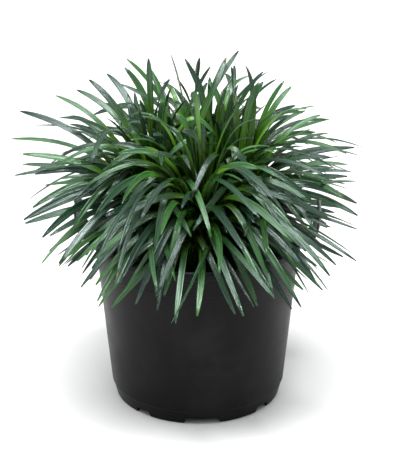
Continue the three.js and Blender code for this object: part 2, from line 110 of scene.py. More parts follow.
def rounded_profile(corners: list[tuple[float, float, float]], steps: int = 4) -> Array:
    """Profile line with rounded corners.

    Each corner is cut back by its radius along both of its sides, and a quadratic curve
    (1-t)(1-t) a + 2t(1-t) corner + t t b joins the two cuts.

    Args:
        corners: Corner radius, height and rounding, all in millimetres.
        steps: Number of parts in each rounding.

    Returns:
        Points (radius, height), one row each.
    """
    spots = np.array([corner[:2] for corner in corners], float)
    rounding = np.array([corner[2] for corner in corners], float)
    share = np.linspace(0, 1, steps + 1)[:, None]
    rows = [spots[:1]]
    for before, spot, after, radius in zip(spots, spots[1:], spots[2:], rounding[1:-1]):
        to_before = before - spot
        to_after = after - spot
        reach_before = min(radius, 0.45 * np.linalg.norm(to_before))
        reach_after = min(radius, 0.45 * np.linalg.norm(to_after))
        start = spot + unit(to_before) * reach_before
        end = spot + unit(to_after) * reach_after
        rows.append((1 - share) ** 2 * start + 2 * share * (1 - share) * spot + share**2 * end)
    rows.append(spots[-1:])
    return np.concatenate(rows)


def turned_points(profile: Array, bearings: Array) -> Array:
    """Surface of revolution: each profile point carried round the axis.

    A point at a bearing b is (radius sin b, -radius cos b, height).

    Args:
        profile: Points (radius, height).
        bearings: Angles round the axis, from the front towards the right.

    Returns:
        Points on a grid, bearing by profile point.
    """
    radius = profile[None, :, 0]
    height = np.broadcast_to(profile[None, :, 1], (len(bearings), len(profile)))
    turn = bearings[:, None]
    return np.stack([radius * np.sin(turn), -radius * np.cos(turn), height], axis=-1)


def grid_faces(rows: int, columns: int, closed_rows: bool, closed_columns: bool) -> Array:
    """Four-sided faces of a grid of points.

    Args:
        rows: Number of rows of points.
        columns: Number of points in a row.
        closed_rows: Whether the last row joins the first.
        closed_columns: Whether a row's last point joins its first.

    Returns:
        Point numbers, four to a face.
    """
    row = np.arange(rows if closed_rows else rows - 1)[:, None]
    column = np.arange(columns if closed_columns else columns - 1)[None, :]
    next_row = (row + 1) % rows
    next_column = (column + 1) % columns
    corners = [
        row * columns + column,
        next_row * columns + column,
        next_row * columns + next_column,
        row * columns + next_column,
    ]
    return np.stack([np.broadcast_to(c, (row.size, column.size)) for c in corners], -1).reshape(-1, 4)


def rolling(places: Array, seed: int, waves: int, shortest: float, longest: float) -> Array:
    """Rolling height from -1 to 1: the mean of plane waves with seeded headings and lengths.

    Args:
        places: Points, of which x and y are used.
        seed: Seed of the waves.
        waves: Number of waves.
        shortest: Shortest wavelength in millimetres.
        longest: Longest wavelength in millimetres.

    Returns:
        One height for each point.
    """
    numbers = seeded_numbers(seed, 3 * waves).reshape(3, waves)
    heading = 2 * math.pi * numbers[0]
    length = shortest * (longest / shortest) ** numbers[1]
    along = places[..., 0, None] * np.cos(heading) + places[..., 1, None] * np.sin(heading)
    swell = np.sin(2 * math.pi * (along / length + numbers[2])) * (length / longest) ** 0.5
    return swell.sum(-1) / math.sqrt(waves)


# Meshes


def pot_axis() -> Array:
    """Place of the pot's axis on the ground, in millimetres of the frame."""
    low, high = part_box("pot")
    return np.array([(low.x + high.x) / 2, (low.y + high.y) / 2, 0.0]) / MM


def new_mesh(name: str, points: Array, faces: Array) -> bpy.types.Mesh:
    """Smooth mesh in metres from points in millimetres from the pot's axis.

    Args:
        name: Name of the mesh.
        points: Points, one row each.
        faces: Point numbers, three or four to a face.

    Returns:
        The mesh.
    """
    mesh = bpy.data.meshes.new(name)
    placed = ((points.reshape(-1, 3) + pot_axis()) * MM).astype(np.float32)
    size = faces.shape[1]
    mesh.vertices.add(len(placed))
    mesh.vertices.foreach_set("co", placed.ravel())
    mesh.loops.add(faces.size)
    mesh.loops.foreach_set("vertex_index", faces.astype(np.int32).ravel())
    mesh.polygons.add(len(faces))
    mesh.polygons.foreach_set("loop_start", np.arange(0, faces.size, size, dtype=np.int32))
    mesh.polygons.foreach_set("use_smooth", np.ones(len(faces), bool))
    mesh.update(calc_edges=True)
    mesh.validate()
    return mesh


def polygon_mesh(name: str, points: Array, faces: list[list[int]]) -> bpy.types.Mesh:
    """Mesh in metres whose faces may have any number of corners.

    Args:
        name: Name of the mesh.
        points: Points in millimetres from the pot's axis, one row each.
        faces: Point numbers of each face.

    Returns:
        The mesh.
    """
    mesh = bpy.data.meshes.new(name)
    mesh.from_pydata(((points + pot_axis()) * MM).tolist(), [], faces)
    mesh.update()
    return mesh


def smooth(mesh: bpy.types.Mesh) -> None:
    """Shades every face of a mesh smooth."""
    mesh.polygons.foreach_set("use_smooth", np.ones(len(mesh.polygons), bool))


def turned_rows(first: Array, second: Array, angle: Array) -> tuple[Array, Array]:
    """Two coordinates of each row of points, turned by the row's own angle."""
    cosine = np.cos(angle)[:, None]
    sine = np.sin(angle)[:, None]
    return first * cosine - second * sine, first * sine + second * cosine


def add_uv(mesh: bpy.types.Mesh, name: str, per_point: Array) -> None:
    """Gives a mesh a UV map from one pair of numbers for each point."""
    corners = np.empty(len(mesh.loops), np.int32)
    mesh.loops.foreach_get("vertex_index", corners)
    layer = mesh.uv_layers.new(name=name)
    layer.data.foreach_set("uv", per_point[corners].astype(np.float32).ravel())


def add_tint(mesh: bpy.types.Mesh, name: str, per_point: Array) -> None:
    """Gives a mesh an attribute of four numbers for each point."""
    attribute = mesh.attributes.new(name, "FLOAT_COLOR", "POINT")
    attribute.data.foreach_set("color", per_point.astype(np.float32).ravel())


def show(mesh: bpy.types.Mesh, material: bpy.types.Material, slot: str, *nodes: str) -> bpy.types.Object:
    """Puts a mesh in the scene as a piece of the object, in place of CAD nodes.

    Args:
        mesh: The finished mesh.
        material: Its material.
        slot: Not used.
        nodes: CAD nodes that the piece stands for.

    Returns:
        The new object, riding on the fixed body.
    """
    mesh.materials.clear()
    mesh.materials.append(material)
    piece = bpy.data.objects.new(mesh.name, mesh)
    bpy.context.scene.collection.objects.link(piece)
    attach(piece, "root")
    if nodes:
        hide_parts(*nodes)
    LOG.info("%s: %d faces", piece.name, len(mesh.polygons))
    return piece


def finished_mesh(piece: bpy.types.Object, name: str) -> bpy.types.Mesh:
    """Mesh of an object with its modifiers applied."""
    graph = bpy.context.evaluated_depsgraph_get()
    mesh = bpy.data.meshes.new_from_object(piece.evaluated_get(graph))
    mesh.name = name
    return mesh


# Finishes


class NodeSheet:
    """Nodes of one procedural material, with short ways to add and join them."""

    def __init__(self, name: str) -> None:
        """Starts a material with one Principled shader."""
        self.material = bpy.data.materials.new(name)
        self.material.use_nodes = True
        self.tree = self.material.node_tree
        self.tree.nodes.clear()
        output = self.tree.nodes.new("ShaderNodeOutputMaterial")
        self.shader = self.tree.nodes.new("ShaderNodeBsdfPrincipled")
        self.tree.links.new(self.shader.outputs["BSDF"], output.inputs["Surface"])

    def node(self, kind: str, inputs: dict | None = None, **settings: object) -> bpy.types.Node:
        """Adds a node.

        Args:
            kind: Node type, without its ShaderNode prefix.
            inputs: Input name or number to a value or to the socket that feeds it.
            settings: Properties of the node.

        Returns:
            The node.
        """
        node = self.tree.nodes.new("ShaderNode" + kind)
        for name, value in settings.items():
            setattr(node, name, value)
        for name, value in (inputs or {}).items():
            self.feed(node.inputs[name], value)
        return node

    def feed(self, socket: Socket, value: object) -> None:
        """Sets an input to a value, or links the socket that feeds it."""
        if isinstance(value, bpy.types.NodeSocket):
            self.tree.links.new(value, socket)
        elif isinstance(value, tuple) and socket.type == "RGBA":
            socket.default_value = (*value, 1.0)
        else:
            socket.default_value = value

    def dress(self, **inputs: object) -> None:
        """Feeds inputs of the shader, named with underscores for spaces."""
        for name, value in inputs.items():
            self.feed(self.shader.inputs[name.replace("_", " ")], value)

    def sum(self, operation: str, first: object, second: object = 0.0) -> Socket:
        """Result of one arithmetic step."""
        return self.node("Math", {0: first, 1: second}, operation=operation).outputs[0]

    def span(self, value: Socket, low: float, high: float, start: float = 0.0, end: float = 1.0) -> Socket:
        """Smooth step of a value from start to end as it goes from low to high."""
        inputs = {0: value, 1: low, 2: high, 3: start, 4: end}
        return self.node("MapRange", inputs, interpolation_type="SMOOTHSTEP").outputs[0]

    def mix(self, share: object, first: object, second: object, how: str = "MIX") -> Socket:
        """Mix of two colours."""
        inputs = {0: share, 6: first, 7: second}
        return self.node("Mix", inputs, data_type="RGBA", blend_type=how).outputs[2]

    def noise(self, place: Socket, scale: float, detail: float = 3.0, rough: float = 0.5) -> Socket:
        """Soft random pattern from 0 to 1."""
        inputs = {"Vector": place, "Scale": scale, "Detail": detail, "Roughness": rough}
        return self.node("TexNoise", inputs).outputs[0]

    def place(self) -> Socket:
        """Object coordinates, in metres."""
        return self.node("TexCoord").outputs["Object"]

    def bump(self, height: Socket, strength: float, depth: float, under: Socket | None = None) -> Socket:
        """Normal bent by a height pattern, over another one if it is given."""
        inputs = {"Height": height, "Strength": strength, "Distance": depth}
        if under is not None:
            inputs["Normal"] = under
        return self.node("Bump", inputs).outputs[0]


@dataclass(frozen=True)
class PotPlastic:
    """Black moulded plastic: a satin sheen, fine grain, faint dust and handling marks, and upward faces
    tinted bluish grey by settled dust and a painted sky reflection.
    """

    black: Colour = (0.0024, 0.0024, 0.0030)
    dust: Colour = (0.022, 0.021, 0.020)
    # Bluish grey of upward faces: settled dust, and a painted reflection of the sky.
    top_dust_and_sheen: Colour = (0.050, 0.058, 0.066)
    roughness: float = 0.40
    gloss: float = 0.10
    patch_scale: float = 22.0
    grain_scale: float = 900.0
    wave_scale: float = 38.0
    scuff_scale: tuple[float, float, float] = (120.0, 120.0, 9.0)
    dust_share: float = 0.45
    scuff_share: float = 0.12
    wave_relief: tuple[float, float] = (0.25, 0.0012)
    grain_relief: tuple[float, float] = (0.12, 0.0001)

    def material(self) -> bpy.types.Material:
        """Material with dust in patches, settled dust and a painted sky reflection on upward faces, and a
        slightly uneven moulded surface.
        """
        sheet = NodeSheet("pot_plastic")
        place = sheet.place()
        patches = sheet.noise(place, self.patch_scale, 4.0, 0.6)
        grain = sheet.noise(place, self.grain_scale, 2.0)
        waves = sheet.noise(place, self.wave_scale, 1.0)
        stretched = sheet.node("Mapping", {"Vector": place, "Scale": self.scuff_scale}).outputs[0]
        scuffs = sheet.span(sheet.noise(stretched, 1.0, 3.0, 0.6), 0.62, 0.78)
        dusty = sheet.span(patches, 0.4, 0.75, 0.0, self.dust_share)
        marked = sheet.sum("ADD", dusty, sheet.sum("MULTIPLY", scuffs, self.scuff_share))
        # Upward faces lighter and bluish: settled dust together with a painted sky reflection.
        normal = sheet.node("NewGeometry").outputs["Normal"]
        upward = sheet.span(sheet.node("SeparateXYZ", {0: normal}).outputs[2], 0.45, 0.95)
        top_dust_and_sheen = sheet.sum("MULTIPLY", upward, sheet.span(patches, 0.2, 0.7, 0.6, 1.0))
        plastic = sheet.mix(top_dust_and_sheen, sheet.mix(marked, self.black, self.dust), self.top_dust_and_sheen)
        wear = sheet.span(patches, 0.3, 0.7, self.roughness - 0.05, self.roughness + 0.1)
        skin = sheet.bump(waves, *self.wave_relief)
        skin = sheet.bump(grain, *self.grain_relief, skin)
        sheet.dress(
            Base_Color=plastic,
            Roughness=wear,
            Specular_IOR_Level=self.gloss,
            Normal=skin,
        )
        return sheet.material


@dataclass(frozen=True)
class LeafSkin:
    """Leathery leaf: deep green with fine lines, bright green near the root (the young leaf bases' own
    colour and painted light shining through them), with painted shade under the leaves above.
    """

    deep: Colour = (0.008, 0.038, 0.017)
    fresh: Colour = (0.028, 0.102, 0.013)
    # sheath: bright yellow-green of the young leaf bases, also painted light that shines through the leaves
    # near the heart.
    sheath: Colour = (0.095, 0.245, 0.006)
    under: Colour = (0.035, 0.105, 0.035)
    straw: Colour = (0.300, 0.230, 0.120)
    gleam: Colour = (0.85, 1.0, 0.98)
    roughness: float = 0.15
    gloss: float = 0.85
    glossier: float = 0.08
    duller: float = 0.16
    lines: float = 9.0
    streaks_along: float = 4.5
    streaks_across: float = 9.0
    streaks_by_leaf: float = 40.0
    streak_shade: tuple[float, float] = (0.60, 1.40)
    line_shade: tuple[float, float] = (0.9, 1.1)
    tone_shade: tuple[float, float] = (0.65, 1.35)
    margin: tuple[float, float] = (0.36, 0.5)
    margin_shade: float = 1.4
    # open and inner: brightness of the painted shade, in the open and deep under the leaves above.
    open: float = 1.0
    inner: float = 0.22
    under_share: float = 0.6
    scorched: tuple[float, float] = (0.972, 0.996)
    line_relief: tuple[float, float] = (0.4, 0.00010)
    streak_relief: tuple[float, float] = (0.45, 0.00040)

    def material(self) -> bpy.types.Material:
        """Material that follows each blade by its UV map: along it from root to tip, and across."""
        sheet = NodeSheet("leaf_skin")
        blade = sheet.node("SeparateXYZ", {0: sheet.node("UVMap", uv_map="blade").outputs[0]})
        along, across = blade.outputs[0], blade.outputs[1]
        growth = sheet.node("Attribute", attribute_name="growth")
        parts = sheet.node("SeparateColor", {0: growth.outputs["Color"]})
        heart, tone, burn = parts.outputs[0], parts.outputs[1], parts.outputs[2]
        dead = growth.outputs["Alpha"]
        below = sheet.node("Attribute", attribute_name="below").outputs["Fac"]
        shaded = sheet.node("Attribute", attribute_name="shaded").outputs["Fac"]

        stretched = sheet.node("CombineXYZ", {
            0: sheet.sum("MULTIPLY", along, self.streaks_along),
            1: sheet.sum("MULTIPLY", across, self.streaks_across),
            2: sheet.sum("MULTIPLY", tone, self.streaks_by_leaf),
        }).outputs[0]
        streaks = sheet.noise(stretched, 1.0, 4.0, 0.6)
        lines = sheet.sum("SINE", sheet.sum("MULTIPLY", across, self.lines * 2 * math.pi))

        colour = sheet.mix(sheet.span(tone, 0.2, 1.0, 0.0, 0.75), self.deep, self.fresh)
        # Bright heart: the young leaf bases' own colour, together with painted light shining through the
        # leaves there.
        colour = sheet.mix(heart, colour, self.sheath)
        colour = sheet.mix(sheet.sum("MULTIPLY", below, self.under_share), colour, self.under)
        shade = sheet.span(streaks, 0.3, 0.7, *self.streak_shade)
        shade = sheet.sum("MULTIPLY", shade, sheet.span(lines, -1.0, 1.0, *self.line_shade))
        shade = sheet.sum("MULTIPLY", shade, sheet.span(tone, 0.0, 1.0, *self.tone_shade))
        # Painted shade: darker where many blades lie above.
        shade = sheet.sum("MULTIPLY", shade, sheet.span(shaded, 0.1, 0.95, self.open, self.inner))
        aside = sheet.sum("ABSOLUTE", sheet.sum("SUBTRACT", across, 0.5))
        shade = sheet.sum("MULTIPLY", shade, sheet.span(aside, *self.margin, 1.0, self.margin_shade))
        colour = sheet.mix(1.0, colour, shade, "MULTIPLY")
        scorched = sheet.sum("MULTIPLY", burn, sheet.span(along, *self.scorched))
        scorched = sheet.sum("MAXIMUM", scorched, dead)
        colour = sheet.mix(scorched, colour, self.straw)

        relief = sheet.bump(lines, *self.line_relief)
        relief = sheet.bump(streaks, *self.streak_relief, relief)
        glossy = self.roughness - self.glossier
        dull = self.roughness + self.duller
        sheet.dress(
            Base_Color=colour,
            Roughness=sheet.span(streaks, 0.32, 0.68, glossy, dull),
            Specular_IOR_Level=self.gloss,
            Specular_Tint=self.gleam,
            Normal=relief,
        )
        return sheet.material


@dataclass(frozen=True)
class PottingMix:
    """Potting mix: dark peat with paler specks of bark."""

    peat: Colour = (0.010, 0.007, 0.005)
    bark: Colour = (0.030, 0.018, 0.011)
    straw: Colour = (0.120, 0.075, 0.038)
    crumb_scale: float = 420.0
    clod_scale: float = 110.0
    fibre_scale: float = 900.0
    clod_relief: tuple[float, float] = (0.8, 0.003)
    crumb_relief: tuple[float, float] = (0.9, 0.0012)
    fibre_relief: tuple[float, float] = (0.6, 0.0005)

    def bed(self) -> bpy.types.Material:
        """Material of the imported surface."""
        sheet = NodeSheet("potting_mix")
        place = sheet.place()
        crumbs = sheet.noise(place, self.crumb_scale, 6.0, 0.7)
        clods = sheet.noise(place, self.clod_scale, 3.0)
        colour = sheet.mix(sheet.span(crumbs, 0.5, 0.72), self.peat, self.bark)
        relief = sheet.bump(clods, *self.clod_relief)
        relief = sheet.bump(crumbs, *self.crumb_relief, relief)
        sheet.dress(Base_Color=colour, Roughness=0.92, Specular_IOR_Level=0.25, Normal=relief)
        return sheet.material

    def crumb(self) -> bpy.types.Material:
        """Material of the loose crumbs and bark chips, each with its own tint."""
        sheet = NodeSheet("bark_crumbs")
        own = sheet.node("Attribute", attribute_name="tint").outputs["Color"]
        tint = sheet.node("SeparateColor", {0: own})
        place = sheet.place()
        fibres = sheet.noise(place, self.fibre_scale, 4.0, 0.65)
        colour = sheet.mix(sheet.span(tint.outputs[0], 0.1, 0.8), self.peat, self.bark)
        colour = sheet.mix(tint.outputs[1], colour, self.straw)
        colour = sheet.mix(1.0, colour, sheet.span(fibres, 0.3, 0.7, 0.6, 1.3), "MULTIPLY")
        sheet.dress(
            Base_Color=colour,
            Roughness=0.85,
            Specular_IOR_Level=0.3,
            Normal=sheet.bump(fibres, *self.fibre_relief),
        )
        return sheet.material


@dataclass(frozen=True)
class PaleFloor:
    """Seamless white studio floor with the faintest mottling."""

    white: Colour = (0.76, 0.76, 0.76)
    darker: float = 0.95
    mottled: float = 0.02

    def material(self) -> bpy.types.Material:
        """Matt white material."""
        sheet = NodeSheet("pale_floor")
        mottling = sheet.span(sheet.noise(sheet.place(), 6.0), 0.3, 0.7, 0.0, self.mottled)
        grey = tuple(self.darker * value for value in self.white)
        sheet.dress(
            Base_Color=sheet.mix(mottling, self.white, grey),
            Roughness=0.9,
            Specular_IOR_Level=0.1,
        )
        return sheet.material


# Pot


@dataclass
class Pot:
    """Nursery pot: turned wall with rim band, collar and foot ring, and two lifting ears."""

    rim_radius: float = 75.0
    rim_top: float = 122.1
    rim_band: float = 5.6
    collar_radius: float = 72.3
    collar_foot: float = 102.5
    wall_top_radius: float = 71.6
    wall_foot_radius: float = 62.9
    foot_top: float = 10.7
    foot_top_radius: float = 62.2
    foot_radius: float = 60.4
    foot_ring: float = 2.8
    wall: float = 1.6
    floor_under: float = 5.4
    floor_top: float = 7.2
    notch_height: float = 4.3
    notch_slope: float = 1.5
    notch_turn: float = 3.0
    notches: tuple[tuple[float, float], ...] = ((0.0, 11.6), (47.0, 5.4))
    notch_count: int = 4
    cut_inward: float = 10.0
    cut_outward: float = 5.0
    cut_from: float = -1.0
    drain_radius: float = 4.0
    drain_circle: float = 44.0
    drain_sides: int = 32
    drain_cut: tuple[float, float] = (1.0, 12.0)
    sharp_from: float = 32.0
    ear_turn: float = 3.7
    ear_half_width: float = 16.0
    ear_thickness: float = 1.8
    ear_corner: float = 9.0
    ear_oval: float = 0.45
    ear_lip: float = 0.03
    ear_rows: int = 25
    ear_around: int = 48
    ear_curve: tuple[tuple[float, float], ...] = ((73.6, 118.3), (84.0, 117.9), (89.5, 131.0), (85.4, 149.6))
    facets: int = 240
    finish: PotPlastic = field(default_factory=PotPlastic)

    def profile(self) -> Array:
        """Closed profile of the wall, from the foot ring up the outside and down the inside."""
        band = self.rim_top - self.rim_band
        ring_in = self.foot_radius - self.foot_ring
        inside = self.wall_top_radius - self.wall
        return rounded_profile([
            (0.0, self.floor_under, 0.0),
            (ring_in - 0.6, self.floor_under, 0.5),
            (ring_in, self.floor_under - 0.6, 0.5),
            (ring_in, 0.0, 0.4),
            (self.foot_radius - 0.6, 0.0, 1.0),
            (self.foot_top_radius, self.foot_top - 0.7, 0.3),
            (self.wall_foot_radius, self.foot_top, 0.35),
            (self.wall_top_radius, self.collar_foot, 0.3),
            (self.collar_radius, self.collar_foot + 0.5, 0.4),
            (self.collar_radius + 0.4, band, 0.6),
            (self.rim_radius, band, 0.8),
            (self.rim_radius, self.rim_top, 1.2),
            (self.collar_radius - 0.2, self.rim_top, 0.9),
            (self.collar_radius - self.wall + 0.3, self.rim_top - 1.2, 0.8),
            (self.collar_radius - self.wall, self.collar_foot + 2, 0.6),
            (inside, self.collar_foot, 0.6),
            (self.wall_foot_radius - self.wall, self.foot_top + 1.5, 0.8),
            (self.foot_top_radius - self.wall, self.floor_top + 1.2, 0.8),
            (self.foot_top_radius - self.wall - 1.2, self.floor_top, 0.8),
            (0.0, self.floor_top, 0.0),
        ])

    def body(self) -> bpy.types.Mesh:
        """Turned wall with the notches and drain holes cut out."""
        profile = self.profile()
        bearings = np.linspace(0, 2 * math.pi, self.facets, endpoint=False)
        ring = turned_points(profile[1:-1], bearings)
        poles = np.array([[0, 0, profile[0, 1]], [0, 0, profile[-1, 1]]], float)
        points = np.concatenate([ring.reshape(-1, 3), poles])
        columns = len(profile) - 2
        sides = grid_faces(self.facets, columns, True, False)
        first = np.arange(self.facets) * columns
        after = np.roll(first, -1)
        low, high = len(points) - 2, len(points) - 1
        bottom = np.stack([np.full_like(first, low), after, first], -1)
        top = np.stack([np.full_like(first, high), first + columns - 1, after + columns - 1], -1)
        faces = [*sides.tolist(), *bottom.tolist(), *top.tolist()]
        return self.cut(polygon_mesh("pot_blank", points, faces))

    def cut(self, blank: bpy.types.Mesh) -> bpy.types.Mesh:
        """Cuts the notches and the drain holes out of the turned wall.

        Args:
            blank: Closed mesh of the wall and floor.

        Returns:
            The cut mesh, smooth but for its sharp edges.
        """
        pot = bpy.data.objects.new("pot_blank", blank)
        tool = bpy.data.objects.new("pot_cutter", self.cutter())
        for piece in (pot, tool):
            bpy.context.scene.collection.objects.link(piece)
        slice_off = pot.modifiers.new("notches", "BOOLEAN")
        slice_off.object = tool
        slice_off.operation = "DIFFERENCE"
        slice_off.solver = "EXACT"
        mesh = finished_mesh(pot, "pot_body")
        for piece in (pot, tool):
            bpy.data.objects.remove(piece)
        smooth(mesh)
        mesh.set_sharp_from_angle(angle=math.radians(self.sharp_from))
        return mesh

    def cutter(self) -> bpy.types.Mesh:
        """Cutting solids: sloped radial blocks for the notches, posts for the drain holes."""
        blocks = []
        sides = []
        near, far = self.foot_radius - self.cut_inward, self.foot_radius + self.cut_outward
        for turn, half in self.notches:
            outline = np.array([
                [-half - self.notch_slope, self.cut_from],
                [half + self.notch_slope, self.cut_from],
                [half, self.notch_height],
                [-half, self.notch_height],
            ])
            for step in range(self.notch_count):
                bearing = math.radians(self.notch_turn + turn + 360 * step / self.notch_count)
                across = outline[None, :, 0]
                out = np.array([[near], [far]])
                x = out * math.sin(bearing) + across * math.cos(bearing)
                y = -out * math.cos(bearing) + across * math.sin(bearing)
                z = np.broadcast_to(outline[None, :, 1], x.shape)
                blocks.append(np.stack([x, y, z], -1).reshape(-1, 3))
                sides.append(4)
        spots = [(0.0, 0.0)]
        for step in range(self.notch_count):
            bearing = math.radians(self.notch_turn + 360 * step / self.notch_count)
            spots.append((self.drain_circle * math.sin(bearing), -self.drain_circle * math.cos(bearing)))
        turn = np.linspace(0, 2 * math.pi, self.drain_sides, endpoint=False)
        circle = np.stack([np.cos(turn), np.sin(turn), np.zeros_like(turn)], -1) * self.drain_radius
        start_height, cut_height = self.drain_cut
        for x, y in spots:
            low = circle + np.array([x, y, start_height])
            blocks.append(np.concatenate([low, low + np.array([0, 0, cut_height])]))
            sides.append(self.drain_sides)
        faces = []
        start = 0
        for count in sides:
            ring = np.arange(count)
            after = (ring + 1) % count
            faces += (start + np.stack([ring, after, after + count, ring + count], -1)).tolist()
            faces += [(start + ring[::-1]).tolist(), (start + count + ring).tolist()]
            start += 2 * count
        return polygon_mesh("pot_cutter", np.concatenate(blocks), faces)

    def ear(self, bearing: float) -> Array:
        """Closed shell of one ear: a tongue that follows the rim's curve and flares outwards.

        Up the tongue its middle line is a cubic curve of (radius, height). Across, a point
        lies at u times the half width there, which narrows to round the two top corners,
        and at the bearing whose sine is that distance over the radius. The shell's section
        goes round an oval of the ear's thickness.

        Args:
            bearing: Bearing of the ear's middle, in degrees.

        Returns:
            Points on a grid, height by place round the section.
        """
        share = np.linspace(0, 1, self.ear_rows)[:, None]
        a, b, c, d = (np.array(point) for point in self.ear_curve)
        line = (1 - share) ** 3 * a + 3 * (1 - share) ** 2 * share * b
        line = line + 3 * (1 - share) * share**2 * c + share**3 * d
        slope = unit(np.gradient(line, axis=0))
        outward = np.stack([slope[:, 1], -slope[:, 0]], -1)
        above = np.clip((line[:, 1] - (line[-1, 1] - self.ear_corner)) / self.ear_corner, 0, 1)
        half = self.ear_half_width - self.ear_corner * (1 - np.sqrt(1 - above**2))
        turn = np.linspace(0, 2 * math.pi, self.ear_around, endpoint=False)
        across = np.sign(np.cos(turn)) * np.abs(np.cos(turn)) ** self.ear_oval
        depth = np.sign(np.sin(turn)) * np.abs(np.sin(turn)) ** self.ear_oval * self.ear_thickness / 2
        on_lip = ((share[:, 0] - (1 - self.ear_lip)) / self.ear_lip).clip(0, 1)
        taper = np.sqrt(np.clip(1 - on_lip**2, 0.02, 1))
        depth = depth[None, :] * taper[:, None]
        radius = line[:, None, 0] + outward[:, None, 0] * depth
        height = line[:, None, 1] + outward[:, None, 1] * depth
        sideways = half[:, None] * across[None, :]
        angle = math.radians(bearing) + np.arcsin(sideways / radius)
        return np.stack([radius * np.sin(angle), -radius * np.cos(angle), height], -1)

    def ears(self) -> bpy.types.Mesh:
        """Both ears as one mesh."""
        shells = [self.ear(90 - self.ear_turn), self.ear(-90 - self.ear_turn)]
        rows, columns = shells[0].shape[:2]
        one = grid_faces(rows, columns, False, True)[:, ::-1]
        ring = np.arange(columns)
        caps = [ring[::-1], (rows - 1) * columns + ring]
        points = np.concatenate([shell.reshape(-1, 3) for shell in shells])
        faces = []
        for start in (0, rows * columns):
            faces += (one + start).tolist()
            faces += [(cap[::-1] + start).tolist() for cap in caps]
        mesh = polygon_mesh("pot_ears", points, faces)
        smooth(mesh)
        mesh.update()
        return mesh

    def build(self) -> None:
        """Makes the pot's pieces and dresses them."""
        plastic = self.finish.material()
        show(self.body(), plastic, "pot_plastic", "pot")
        show(self.ears(), plastic, "pot_plastic", "pot")


# Soil


